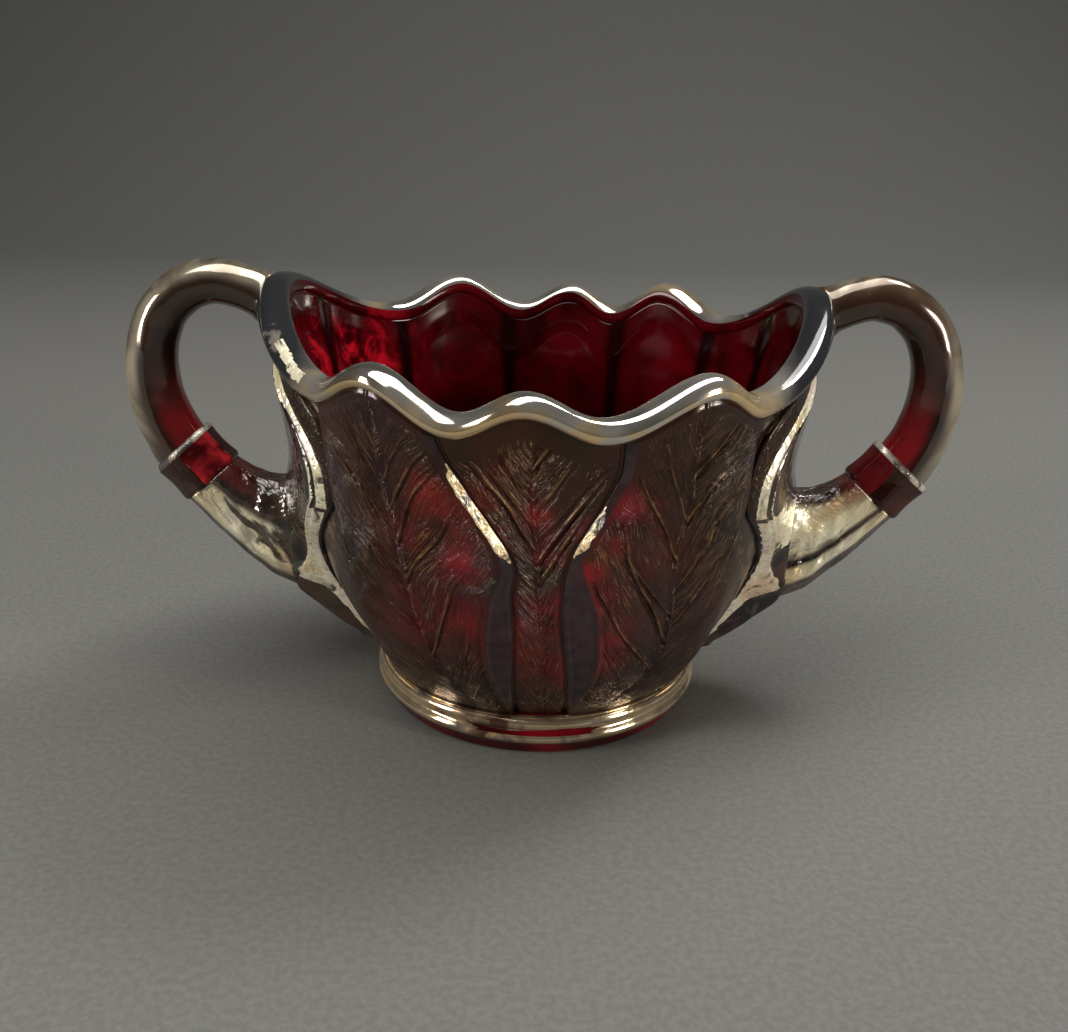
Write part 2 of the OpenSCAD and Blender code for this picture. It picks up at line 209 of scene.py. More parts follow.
def strip(f, c, rev):
    out = []
    for i in range(len(c) - 1):
        q = 4 * i
        t = [(f[q], f[q + 1], c[i]), (f[q + 1], f[q + 2], c[i]), (f[q + 2], c[i + 1], c[i]),
             (f[q + 2], f[q + 3], c[i + 1]), (f[q + 3], f[q + 4], c[i + 1])]
        out += [tuple(reversed(x)) for x in t] if rev else t
    return out


def shell(outer, inner):
    """Closed shell: a fine outside grid over an inside grid a quarter as fine."""
    nr, nc = outer.shape[0] - 1, outer.shape[1] - 1
    mr, mc = nr // 4, nc // 4
    fo = np.arange((nr + 1) * (nc + 1)).reshape(nr + 1, nc + 1)
    fi = fo.size + np.arange((mr + 1) * (mc + 1)).reshape(mr + 1, mc + 1)
    faces = np.stack([fo[:-1, :-1], fo[:-1, 1:], fo[1:, 1:], fo[1:, :-1]], -1).reshape(-1, 4).tolist()
    faces += np.stack([fi[:-1, :-1], fi[1:, :-1], fi[1:, 1:], fi[:-1, 1:]], -1).reshape(-1, 4).tolist()
    faces += strip(fo[0], fi[0], True) + strip(fo[-1], fi[-1], False)
    faces += strip(fo[:, -1], fi[:, -1], True) + strip(fo[:, 0], fi[:, 0], False)
    v = np.concatenate([outer.reshape(-1, 3), inner.reshape(-1, 3)])
    return v, [tuple(int(i) for i in f) for f in faces]


def tube(rings, closed=False, caps=True):
    """Rings of points joined into a tube: (n, m, 3)."""
    n, m = rings.shape[:2]
    idx = np.arange(n * m).reshape(n, m)
    a = idx if closed else idx[:-1]
    b = np.roll(idx, -1, 0) if closed else idx[1:]
    faces = np.stack([a, np.roll(a, -1, 1), np.roll(b, -1, 1), b], -1).reshape(-1, 4).tolist()
    v = rings.reshape(-1, 3)
    if not closed and caps:
        v = np.concatenate([v, [rings[0].mean(0)], [rings[-1].mean(0)]])
        for j in range(m):
            k = (j + 1) % m
            faces.append([int(idx[0, k]), int(idx[0, j]), n * m])
            faces.append([int(idx[-1, j]), int(idx[-1, k]), n * m + 1])
    return v, [tuple(int(i) for i in f) for f in faces]


def wobble(x, y, seed, n=10, scale=1.0):
    """Smooth made-up unevenness between about -1 and 1."""
    r = np.random.RandomState(seed)
    out = 0 * (x + y)
    for _ in range(n):
        f = r.uniform(0.5, 2.2) * scale
        t = r.uniform(0, 2 * np.pi)
        out = out + np.sin(f * (x * np.cos(t) + y * np.sin(t)) + r.uniform(0, 6.283))
    return out / n * 1.6


# --------------------------------------------------------- leaf decoration
# Veins as centre lines on the bowl: (angle, height) in degrees and mm, each
# from its outer end to the midrib it joins.
VEINS = {
    "C": dict(
        mid=[(-2.6, 66), (-2.2, 62), (-1.8, 56), (-1.1, 48), (-0.5, 41.8), (0.8, 30), (1.6, 20), (1.8, 12), (1.8, 8)],
        veins=[([(-15.4, 61.2), (-12, 57.6), (-8.5, 54.1), (-5.8, 51.5), (-3.9, 48.6), (-1.4, 45.4)], 1.5),
               ([(-9.6, 45.3), (-7.1, 43), (-4.6, 41.3), (-0.9, 38.4)], 1.1),
               ([(-5.2, 37.2), (-3.8, 35.8), (-0.3, 32.6)], 0.8),
               ([(-7.9, 63.2), (-7, 59.9), (-5.4, 57.2), (-3.3, 54.7), (-1.7, 53)], 0.8),
               ([(-12, 60.3), (-9.9, 57.6), (-7.6, 55.5), (-4.7, 52.4), (-1.5, 49)], 0.8),
               ([(-12.5, 51.5), (-9, 48.6), (-6, 45.6), (-2.6, 42.8)], 0.8),
               ([(-5, 30), (-2.6, 26), (0.6, 21.5)], 0.5),
               ([(2, 63.3), (0.3, 61), (-2, 58.2)], 1.3),
               ([(7, 61.6), (5.5, 59.8), (3.9, 57.5), (1.4, 54.2), (-1.4, 51)], 1.0),
               ([(10.4, 56), (8, 53.3), (5.3, 50.2), (3.2, 47.7), (1.4, 45.6), (-0.5, 43.1)], 1.7),
               ([(8.2, 50.9), (6.3, 48.5), (4.4, 45.9), (2.3, 42.9), (0, 39.6)], 1.2),
               ([(4.1, 38.3), (2.7, 35), (0.9, 30.6)], 0.7),
               ([(12.5, 60), (9.5, 57), (6.5, 54), (3.4, 50.6), (-0.8, 46.6)], 0.6),
               ([(5.2, 30), (3.6, 25), (1.9, 20)], 0.5)]),
    "L": dict(
        mid=[(-32, 68), (-31.4, 62), (-31.8, 55.3), (-31.4, 51.2), (-29.2, 43.5), (-28.2, 37.7), (-27.1, 31.7),
             (-25.5, 23.5), (-22.4, 14.9), (-18, 9.5), (-17, 7.6)],
        veins=[([(-16.4, 51), (-18, 49.1), (-19.6, 46.4), (-23.1, 42.9), (-26.5, 39.7), (-28.1, 37.4)], 1.2),
               ([(-19, 57.4), (-21.9, 55.2), (-25, 52.3), (-27.6, 48), (-29.3, 43.8)], 1.3),
               ([(-15.4, 39.8), (-17.8, 37.1), (-19.8, 33.1), (-22.8, 27), (-25.6, 22.4)], 1.1),
               ([(-19, 62), (-21.4, 59.8), (-24.7, 57.1), (-28, 52.9), (-30.9, 48.7)], 1.0),
               ([(-14.5, 35.7), (-14.6, 32), (-15.6, 26.8), (-18.6, 21), (-22.5, 15.4)], 0.7),
               ([(-23.9, 62.9), (-26.2, 60.4), (-29, 57.4), (-31.7, 53.3)], 0.8),
               ([(-45, 49.8), (-43.2, 48), (-40.1, 45.2), (-35.5, 41.9), (-32.4, 38.8), (-27.6, 34.8)], 0.8),
               ([(-44.5, 58), (-39.7, 54.4), (-37, 52.1), (-34.3, 49), (-30.2, 44.6)], 0.9),
               ([(-43.6, 39.4), (-41.3, 37.3), (-37.5, 34.5), (-33.2, 31.4), (-26.8, 28.4)], 0.8),
               ([(-37.6, 64), (-36.4, 60.7), (-34.6, 57), (-31.9, 52.6)], 0.8),
               ([(-43.4, 30), (-41.8, 28.8), (-38, 26.5), (-33.1, 23.9), (-25, 19.4)], 0.7)]),
    "R": dict(
        mid=[(28.6, 69), (28.4, 62), (29.1, 55.5), (29.4, 50.4), (28, 44.7), (28.4, 37.6), (30.4, 27.2), (30.6, 21.4),
             (28.6, 15.9), (24.8, 12.1), (20, 8.6), (19, 7.6)],
        veins=[([(17.4, 58), (18.3, 56), (20.3, 53.1), (23.5, 49), (25.6, 45.9), (28, 42)], 1.3),
               ([(21.4, 62.4), (22.4, 60.3), (24.2, 56.8), (26.9, 52.4), (29.3, 48)], 0.9),
               ([(16, 48.6), (16.8, 45.9), (17.7, 42.8), (19.9, 39.1), (23.5, 34.9), (26.7, 30.7), (30.4, 25.9)], 1.9),
               ([(10.2, 43.4), (10.6, 41.2), (11.9, 38.1), (14.8, 34.2), (18.4, 29.2), (24.2, 24), (29.9, 19.5)], 1.2),
               ([(13.2, 51.4), (14.2, 49.5), (15.9, 45.6), (18.9, 41.3), (22.9, 37.4), (28.9, 31.9)], 1.0),
               ([(13.6, 28), (17, 23.6), (21.4, 18.8), (26.4, 14.6)], 0.6),
               ([(37, 64.6), (35.4, 62.5), (33.4, 60.1), (31.1, 58), (28.9, 55.4)], 1.4),
               ([(42.6, 58.8), (38.9, 56.7), (35.2, 54.6), (32.4, 52.1), (29.4, 48.4)], 1.4),
               ([(42.8, 54.8), (40.9, 52.5), (38.2, 49.4), (35.9, 45.6), (32.9, 41.3), (28.6, 36)], 0.9),
               ([(43.8, 44.2), (42.3, 42.6), (39.6, 39.4), (36.2, 35.6), (30, 28.6)], 0.8),
               ([(43.6, 33), (39, 28.2), (35, 24.6), (30.4, 20.8)], 0.7)]),
}
# smooth strips beside the middle leaf: width in mm against height
LENS = {"R": np.array([(7, 0.5), (10, 0.7), (13, 1.4), (19, 3.9), (26.5, 5.3), (33, 5.2), (38, 3.8), (41, 2.7),
                       (44, 1.55), (80, 1.35)]),
        "L": np.array([(7, 0.5), (10, 0.7), (13, 1.4), (21, 3.6), (28, 4.1), (34.5, 3.2), (40, 1.8), (45, 1.5),
                       (80, 1.35)])}
# painted glow, redder where light would come through the leaf: angle, height, radius in mm, strength
GLOWS = {"C": [(-1, 50.5, 2.2, 1.0), (1.7, 45.5, 2.4, 0.9), (-8, 52.5, 5, 0.45), (-9, 47, 3.5, 0.5), (0, 33, 6, 0.5),
               (3.4, 36, 3, 0.45), (-3, 26, 5, 0.4), (3.5, 22, 5, 0.5), (8, 47.5, 2.5, 0.5)],
         "L": [(-15.5, 42, 3.4, 1.0), (-18.5, 50, 4, 0.7), (-22, 52.5, 3.5, 0.75), (-16.5, 46, 4.5, 0.7),
               (-18, 31, 6, 0.65), (-26, 30, 7, 0.4), (-15, 27, 4, 0.5), (-33, 43, 4, 0.25), (-26, 45, 4, 0.35)],
         "R": [(16.3, 52, 3, 0.8), (9.6, 41.6, 2.2, 1.1), (14, 46.5, 3, 0.6), (13.5, 29, 4, 0.75), (12, 36, 3.5, 0.55),
               (22, 44, 5, 0.25), (16, 24, 4, 0.5), (20, 53, 4, 0.3)]}
BASE = {"C": -1.0, "L": -29.0, "R": 29.5}


def flat_mm(key, a, z):
    """A leaf laid flat: millimetres across and along."""
    return (a - BASE[key]) * np.pi / 180 * r_out(z), along(z)


def seg_dist(x, y, line):
    """Distance to a bent line, how far along it, and the signed offset above."""
    best = np.full(x.shape, 1e9)
    tt = np.zeros(x.shape)
    sd = np.zeros(x.shape)
    total = np.hypot(*np.diff(line, axis=0).T)
    cum = np.concatenate([[0], np.cumsum(total)])
    for i in range(len(line) - 1):
        p, q = line[i], line[i + 1]
        d = q - p
        L = max(np.hypot(*d), 1e-6)
        u = d / L
        n = np.array([-u[1], u[0]])
        if n[1] < 0:
            n = -n
        s = np.clip((x - p[0]) * u[0] + (y - p[1]) * u[1], 0, L)
        cx, cy = p[0] + u[0] * s, p[1] + u[1] * s
        dd = np.hypot(x - cx, y - cy)
        w = dd < best
        best = np.where(w, dd, best)
        tt = np.where(w, (cum[i] + s) / cum[-1], tt)
        sd = np.where(w, (x - p[0]) * n[0] + (y - p[1]) * n[1], sd)
    return best, tt, sd


def finer(line, n=5):
    """The same line with its corners rounded."""
    p = np.asarray(line, float)
    ext = np.concatenate([[2 * p[0] - p[1]], p, [2 * p[-1] - p[-2]]])
    out = []
    for i in range(1, len(ext) - 2):
        a, b, c, d = ext[i - 1:i + 3]
        for t in np.linspace(0, 1, n, endpoint=False):
            out.append(0.5 * (2 * b + (c - a) * t + (2 * a - 5 * b + 4 * c - d) * t**2 + (3 * b - a - 3 * c + d) * t**3))
    out.append(p[-1])
    return np.array(out)


def decorate(key, a, z, mm_mid, mm_side, mm_top):
    """Relief in mm over the plain blade, and what the finish needs to know."""
    x, y = flat_mm(key, a, z)

    def on(line):
        p = np.array(line, float)
        lx, ly = flat_mm(key, p[:, 0], p[:, 1])
        return finer(np.stack([lx, ly], -1))

    mid = on(VEINS[key]["mid"])
    dm, tm, _ = seg_dist(x, y, mid)
    side = np.sign(x - np.interp(y, mid[::-1, 1], mid[::-1, 0]))
    middle_leaf = key == "C"
    lens = 0 * x
    if middle_leaf:
        blade = smooth01(np.minimum(mm_mid, mm_side) / 0.5 - 0.2)
        hair = smooth01((np.minimum(mm_mid, mm_side) - 0.5) / 1.3)
    else:
        lw = pchip(z, LENS[key][:, 0], LENS[key][:, 1])
        lens = smooth01((lw - mm_mid) / 0.35 + 0.5)
        hair = smooth01((mm_mid - lw - np.where(z > 40, 0.9, 0.15)) / 0.8) * smooth01((mm_side - 1.3) / 1.8)
        blade = smooth01((mm_mid - lw) / 0.5)
    bare = 2.6 if middle_leaf else 1.1
    hair = hair * smooth01((mm_top - bare - 0.8 * wobble(x, 0 * y, 5, scale=0.5)) / 1.8) * smooth01((z - 8.8) / 3)
    num = [0 * x, 0 * x]
    den = [0 * x + 1e-9, 0 * x + 1e-9]
    ridge = 0 * x
    sink = 0 * x
    for vi, (line, strength) in enumerate(VEINS[key]["veins"]):
        v = on(line)
        d, t, sd = seg_dist(x, y, v)
        s = 0 if v[0, 0] < np.interp(v[0, 1], mid[::-1, 1], mid[::-1, 0]) else 1
        same = (side < 0) if s == 0 else (side >= 0)
        u0 = v[:, 1].mean() * 0.62 + abs(v[:, 0] - np.interp(v[:, 1], mid[::-1, 1], mid[::-1, 0])).mean() * -0.55
        w = 1 / (d**2 + 0.6) ** 2
        num[s] = num[s] + w * (u0 + sd)
        den[s] = den[s] + w
        grow = strength * (0.35 + 0.65 * smooth01(t * 2.2)) * (1 - 0.35 * smooth01((t - 0.85) / 0.15))
        ridge = np.maximum(ridge, np.where(same | (dm < 0.6), grow, 0) * np.exp(-((d / 0.20) ** 2)))
        groove = np.exp(-(((sd + 0.55) / 0.38) ** 2)) * np.exp(-((np.maximum(d - 0.9, 0) / 0.3) ** 2))
        sink = sink + np.where(same, grow, 0) * (0.20 * np.exp(-((d / 1.5) ** 2)) + 0.17 * groove)
    u = np.where(side < 0, num[0] / den[0], num[1] / den[1])
    u = u + 0.35 * wobble(x, y, 17, scale=0.7)
    env = 0.55 + 0.45 * wobble(x * 1.0, y * 0.6, 23, scale=0.9)
    coarse = np.sin(2 * np.pi * u / 0.83) * 0.030 + np.sin(2 * np.pi * u / 2.3 + 1.0) * 0.050
    blade_len = smooth01(tm * 1.0)
    rib = 0.32 * np.exp(-((dm / 0.34) ** 2)) - 0.38 * np.exp(-((dm / 1.2) ** 2))
    rib = rib * (0.55 + 0.45 * smooth01((z - 12) / 20))
    h = hair * (0.24 * np.minimum(ridge, 1.9) - 1.35 * sink + 0.75 * coarse * np.clip(env, 0.1, 1.1))
    h = h + rib * np.maximum(hair, 0.35 * blade) * (1.0 if not middle_leaf else 0.75)
    h = h + 0.10 * hair * wobble(x, y, 31, scale=0.55)
    glow = 0 * x
    for ga, gz, gr, gs in GLOWS[key]:
        gx, gy = flat_mm(key, np.array(float(ga)), np.array(float(gz)))
        glow = np.maximum(glow, gs * np.exp(-(((x - gx) ** 2 + (y - gy) ** 2) / (gr * 1.15) ** 2)))
    return h, u, hair, glow, lens, ridge * hair


def leaf_grid(key, k, nc, nr):
    """Front leaf k on its own grid: angles, heights, thickness and finish."""
    s = np.linspace(0, 1, nc + 1)
    # more columns close to the two edges
    s = s - 0.28 / (2 * np.pi) * np.sin(2 * np.pi * s)
    v = np.linspace(0, 1, nr + 1)
    V, S = np.meshgrid(v, s, indexing="ij")
    a = edge(k, V) * (1 - S) + edge(k + 1, V) * S
    a1 = edge(k, 1.0) * (1 - S) + edge(k + 1, 1.0) * S
    z = ZB + (wall_top(a1) - ZB) * V
    scale = np.pi / 180 * r_out(z)
    left, right_ = (a - edge(k, V)) * scale, (edge(k + 1, V) - a) * scale
    top = along(wall_top(a1)) - along(z)
    canon = a - 360 if k == 11 else a
    if key == "C":
        h, u, hair, glow, lens, ridge = decorate(key, canon, z, left, right_, top)
        m = np.minimum(left, right_)
        t = 0.8 + 0.35 * smooth01(m / 1.4) - 0.22 * np.exp(-(((m - 0.45) / 0.3) ** 2))
    else:
        mid_mm, side_mm = (right_, left) if key == "L" else (left, right_)
        h, u, hair, glow, lens, ridge = decorate(key, canon, z, mid_mm, side_mm, top)
        lw = pchip(z, LENS[key][:, 0], LENS[key][:, 1])
        up_ = np.clip(mid_mm / lw, 0, 1)
        low = smooth01((41.5 - z) / 6)
        steep = up_ * 0.93                                  # flat bevel with crisp edges
        dish = 0.25 * up_ + 0.55 * up_**2.2 + 0.13 * np.sin(np.pi * np.clip(up_, 0, 1)) ** 2
        t = 0.8 + steep * (1 - low) + dish * low
        t = t + 0.12 * smooth01((mid_mm - lw) / 2.5) + low * 0.12 * smooth01((mid_mm - lw) / 0.6)
        # low down the strip is a dish between two rolled lips
        show = low * smooth01((z - 9) / 5)
        t = t + show * (0.34 * np.exp(-(((mid_mm - lw) / 0.42) ** 2)) + 0.26 * np.exp(-(((mid_mm - 0.5) / 0.38) ** 2))
                        - 0.20 * np.exp(-(((mid_mm - lw - 0.95) / 0.42) ** 2)))
        full = 0.8 + (1.05 + 0.13 * np.sin(np.pi * S)) * np.minimum(1, side_mm / 1.5)
        # rounded over along the outer edge
        t = np.minimum(t, full + 0.0) + 0.10 * smooth01((side_mm - 1.5) / 3)
    t = t - 0.25 * smooth01(1 - top / 1.3) ** 2 * (0 if key == "C" else 1)
    t = np.maximum(t + h, 0.25)
    bevel = 0 * t
    if key != "C":
        lo, hi, wide = (43.8, 52.2, 0.1) if key == "R" else (42.6, 58.0, 0.45)
        ragged = 0.20 * wobble(z * 1.3, mid_mm, 9, scale=1.6) + 0.12 * wobble(z, mid_mm, 19, scale=4.0)
        ends = smooth01((z - lo) / 2.2) * smooth01((hi - z) / 2.6)
        bevel = ((mid_mm > 0.08) & (mid_mm < (lw + wide) * (0.25 + 0.75 * ends) - 0.15 + ragged) & (z > lo) & (z < hi)).astype(float)
    return dict(S=S, V=V, a=a, a1=a1, z=z, t=t, bevel=bevel, hair_u=u, hair=hair, glow=glow, lens=lens, ridge=ridge, key=key)


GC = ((132, 320))
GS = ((260, 320))
FIELDS = {"C": leaf_grid("C", 0, *GC), "R": leaf_grid("R", 1, *GS), "L": leaf_grid("L", 11, *GS)}


# --------------------------------------------------------------- materials
class Nodes:
    """A small helper for writing node materials."""

    def __init__(self, name):
        self.mat = bpy.data.materials.new(name)
        self.mat.use_nodes = True
        self.nt = self.mat.node_tree
        self.nt.nodes.clear()
        self.out = self.nt.nodes.new("ShaderNodeOutputMaterial")
        self.bsdf = self.nt.nodes.new("ShaderNodeBsdfPrincipled")
        self.nt.links.new(self.bsdf.outputs[0], self.out.inputs["Surface"])
        tc = self.nt.nodes.new("ShaderNodeTexCoord")
        self.pos = tc.outputs["Object"]

    def put(self, socket, value):
        if hasattr(value, "is_linked") or isinstance(value, bpy.types.NodeSocket):
            self.nt.links.new(value, socket)
        else:
            if isinstance(value, (tuple, list)) and len(value) == 3 and socket.type == "RGBA":
                value = tuple(value) + (1.0,)
            socket.default_value = value

    def set(self, **kw):
        names = dict(color="Base Color", metallic="Metallic", rough="Roughness", ior="IOR",
                     coat="Coat Weight", coat_rough="Coat Roughness", coat_ior="Coat IOR", coat_tint="Coat Tint",
                     spec_tint="Specular Tint", spec="Specular IOR Level", trans="Transmission Weight",
                     normal="Normal", coat_normal="Coat Normal", film="Thin Film Thickness", film_ior="Thin Film IOR",
                     sss="Subsurface Weight", sss_r="Subsurface Radius", sss_s="Subsurface Scale")
        for k, v in kw.items():
            self.put(self.bsdf.inputs[names[k]], v)

    def noise(self, scale, detail=3.0, rough=0.5, distort=0.0, vec=None):
        n = self.nt.nodes.new("ShaderNodeTexNoise")
        n.inputs["Scale"].default_value = scale
        n.inputs["Detail"].default_value = detail
        n.inputs["Roughness"].default_value = rough
        n.inputs["Distortion"].default_value = distort
        self.nt.links.new(vec if vec is not None else self.pos, n.inputs["Vector"])
        return n.outputs["Fac"]

    def voronoi(self, scale, feature="F1", vec=None):
        n = self.nt.nodes.new("ShaderNodeTexVoronoi")
        n.feature = feature
        n.inputs["Scale"].default_value = scale
        self.nt.links.new(vec if vec is not None else self.pos, n.inputs["Vector"])
        return n.outputs["Distance"]

    def attr(self, name):
        n = self.nt.nodes.new("ShaderNodeAttribute")
        n.attribute_name = name
        return n.outputs["Fac"]

    def math(self, op, a, b=0.0, c=None, clamp=False):
        n = self.nt.nodes.new("ShaderNodeMath")
        n.operation = op
        n.use_clamp = clamp
        self.put(n.inputs[0], a)
        self.put(n.inputs[1], b)
        if c is not None:
            self.put(n.inputs[2], c)
        return n.outputs[0]

    def range(self, v, a, b, c=0.0, d=1.0, smooth=True):
        n = self.nt.nodes.new("ShaderNodeMapRange")
        n.interpolation_type = "SMOOTHSTEP" if smooth else "LINEAR"
        self.put(n.inputs["Value"], v)
        for nm, x in zip(("From Min", "From Max", "To Min", "To Max"), (a, b, c, d)):
            self.put(n.inputs[nm], x)
        return n.outputs["Result"]

    def mix(self, fac, a, b):
        n = self.nt.nodes.new("ShaderNodeMix")
        n.data_type = "RGBA"
        self.put(n.inputs[0], fac)
        self.put(n.inputs[6], a)
        self.put(n.inputs[7], b)
        return n.outputs[2]

    def ramp(self, fac, stops):
        n = self.nt.nodes.new("ShaderNodeValToRGB")
        e = n.color_ramp.elements
        while len(e) < len(stops):
            e.new(0.5)
        for el, (p, c) in zip(e, stops):
            el.position = p
            el.color = tuple(c) + (1.0,)
        self.put(n.inputs[0], fac)
        return n.outputs[0]

    def xyz(self):
        n = self.nt.nodes.new("ShaderNodeSeparateXYZ")
        self.nt.links.new(self.pos, n.inputs[0])
        return n.outputs

    def bump(self, height, distance, strength=1.0, normal=None):
        n = self.nt.nodes.new("ShaderNodeBump")
        n.inputs["Strength"].default_value = strength
        n.inputs["Distance"].default_value = distance
        self.put(n.inputs["Height"], height)
        if normal is not None:
            self.put(n.inputs["Normal"], normal)
        return n.outputs[0]


def leaf_lustre(name="lustre_leaf", dark=(0.0105, 0.0050, 0.0038), warm=(0.036, 0.0115, 0.0065),
                red=(0.225, 0.0060, 0.0085), gold=(0.29, 0.160, 0.068), hair=True):
    m = Nodes(name)
    big = m.noise(60, 4, 0.55)
    fine = m.noise(420, 3, 0.6)
    col = m.mix(m.range(big, 0.35, 0.68), dark, warm)
    metal = m.range(big, 0.3, 0.7, 0.02, 0.10)
    hue = m.ramp(m.noise(38, 3, 0.5, 0.6), [(0.30, (1.0, 0.76, 0.48)), (0.45, (1.0, 0.92, 0.76)), (0.56, (0.90, 0.84, 1.0)),
                                           (0.68, (0.78, 1.0, 0.86))])
    rough = m.range(fine, 0.3, 0.75, 0.13, 0.24)
    if hair:
        hm = m.attr("hair")
        u = m.attr("hair_u")
        wob = m.math("MULTIPLY", m.noise(260, 2, 0.5), 0.5)
        uu = m.math("ADD", u, wob)
        # broken fine ridges that follow the veins
        x, y, z = m.xyz()
        comb = m.nt.nodes.new("ShaderNodeCombineXYZ")
        m.put(comb.inputs[0], m.math("MULTIPLY", uu, 2.6))
        m.put(comb.inputs[1], m.math("MULTIPLY", m.math("ADD", x, y), 330.0))
        m.put(comb.inputs[2], m.math("MULTIPLY", z, 330.0))
        streak = m.noise(1.0, 3, 0.6, 0.2, comb.outputs[0])
        w1 = m.math("SINE", m.math("MULTIPLY", uu, 2 * math.pi / 0.52))
        patch = m.range(m.noise(140, 3, 0.55), 0.34, 0.68, 0.35, 1.25)
        wave = m.math("ADD", m.math("MULTIPLY", w1, 0.38), m.range(streak, 0.36, 0.64, -1.1, 1.1))
        # painted glow: redder where light would come through the leaf, less so on the smooth strips
        glow = m.attr("glow")
        g = m.math("MULTIPLY", glow, m.range(m.noise(170, 4, 0.6), 0.30, 0.64, 0.22, 1.1), clamp=True)
        g = m.math("MULTIPLY", g, m.range(m.attr("lens"), 0, 1, 1, 0.12), clamp=True)
        col = m.mix(m.attr("lens"), col, m.mix(m.range(fine, 0.35, 0.65), (0.024, 0.014, 0.016), (0.040, 0.025, 0.028)))
        col = m.mix(g, col, red)
        crest = m.math("MULTIPLY", m.range(wave, 0.42, 1.35), m.math("MULTIPLY", patch, hm), clamp=True)
        crest = m.math("MULTIPLY", crest, m.range(m.noise(75, 3, 0.6), 0.40, 0.64, 0.10, 0.95), clamp=True)
        crest = m.math("MULTIPLY", crest, m.range(glow, 0.0, 0.9, 1.0, 0.30), clamp=True)
        # painted glint: broken gold glints along the vein ridges
        line = m.math("MULTIPLY", m.range(m.attr("ridge"), 0.34, 1.0, 0, 0.9), m.range(m.noise(240, 3, 0.6), 0.42, 0.56, 0.08, 1.0))
        crest = m.math("MAXIMUM", crest, line)
        col = m.mix(crest, col, gold)
        metal = m.math("ADD", metal, m.math("MULTIPLY", crest, 0.55), clamp=True)
        rough = m.math("ADD", rough, m.math("MULTIPLY", hm, 0.05))
        hh = m.math("MULTIPLY", m.math("MULTIPLY", wave, patch), hm)
        hh = m.math("ADD", hh, m.math("MULTIPLY", m.noise(900, 3, 0.65), m.range(hm, 0, 1, 0.15, 2.6)))
        nrm = m.bump(hh, 0.000085, 1.0)
        nrm = m.bump(m.noise(1500, 2, 0.6), 0.00003, 1.0, nrm)
    else:
        spot = m.math("MULTIPLY", m.range(m.noise(620, 3, 0.65), 0.48, 0.66), m.range(m.noise(80, 3, 0.6), 0.36, 0.62, 0.15, 0.8), clamp=True)
        col = m.mix(spot, col, gold)
        metal = m.math("ADD", metal, m.math("MULTIPLY", spot, 0.5), clamp=True)
        nrm = m.bump(m.noise(620, 3, 0.65), 0.00009, 1.0)
    m.set(color=col, metallic=metal, rough=rough, ior=1.52, spec_tint=hue, normal=nrm,
          coat=0.12, coat_rough=0.08, coat_ior=1.5, coat_normal=nrm)
    return m.mat


def metal_lustre(name, dark, light, metallic=0.75, scale=45.0, ripple=0.00012, tints=None, low=0.10, high=0.22,
                 cut=(0.36, 0.62), side_reflect_dark=None, inner_red=None, lip=None):
    """The silvery or golden film on the rim, the handles and the stems."""
    m = Nodes(name)
    a = m.noise(scale, 4, 0.55, 0.8)
    col = m.mix(m.range(a, cut[0], cut[1]), dark, light)
    metal = m.range(a, cut[0], cut[1], metallic * 0.75, metallic)
    if tints:
        col = m.mix(m.range(m.noise(scale * 2.2, 3, 0.5, 1.0), 0.50, 0.62, 0, 0.8), col, tints[0])
        col = m.mix(m.range(m.noise(scale * 1.4, 2, 0.5, 1.4), 0.57, 0.67, 0, 0.7), col, tints[1])
    x, y, z = m.xyz()
    if lip:
        g = m.math("MULTIPLY", m.attr("lip"), m.range(m.noise(70, 4, 0.6, 0.8), 0.40, 0.54))
        col = m.mix(g, col, lip)
    if side_reflect_dark:
        # painted dark reflection: the side lobes of the rim are darkened and carry less metal
        d = m.range(m.math("ADD", m.math("ABSOLUTE", x), m.math("MULTIPLY", m.noise(90, 3), 0.008)), 0.034, 0.044)
        d = m.math("MULTIPLY", d, m.range(m.noise(110, 4, 0.6, 0.8), 0.62, 0.70, 1.0, 0.35))
        col = m.mix(d, col, side_reflect_dark)
        metal = m.math("MULTIPLY", metal, m.range(d, 0, 1, 1, 0.30))
    if inner_red:
        # painted highlight: bright cream streaked film on the outside and the top, brightest high up where the light
        # falls; thin film where the handle comes down to its cuff
        out_ = m.attr("outer")
        d = m.math("MULTIPLY", m.range(out_, 0.12, 0.90), m.range(z, 0.040, 0.066, 0.25, 1.0))
        d = m.math("MULTIPLY", d, m.range(m.noise(60, 4, 0.6, 0.6), 0.36, 0.60, 0.55, 1.0), clamp=True)
        streak = m.range(m.noise(60, 3, 0.5, 0.8), 0.32, 0.62)
        col = m.mix(d, col, m.mix(streak, (0.15, 0.095, 0.055), (0.86, 0.76, 0.56)))
        metal = m.math("MAXIMUM", metal, m.math("MULTIPLY", d, 0.92))
        d = m.math("MULTIPLY", m.range(z, 0.067, 0.050), m.range(out_, 0.05, -0.45))
        d = m.math("MULTIPLY", d, m.range(m.noise(120, 3), 0.3, 0.6, 0.5, 1.0), clamp=True)
        col = m.mix(d, col, inner_red)
        metal = m.math("MULTIPLY", metal, m.range(d, 0, 1, 1, 0.05))
    nrm = m.bump(m.noise(scale * 2.4, 3, 0.45), ripple, 0.8)
    nrm = m.bump(m.noise(900, 2, 0.5), 0.000012, 0.6, nrm)
    m.set(color=col, metallic=metal, rough=m.range(m.noise(scale * 5, 3), 0.3, 0.7, low, high), ior=1.7,
          normal=nrm, coat=0.45, coat_rough=0.05, coat_ior=1.55, coat_normal=nrm)
    return m.mat


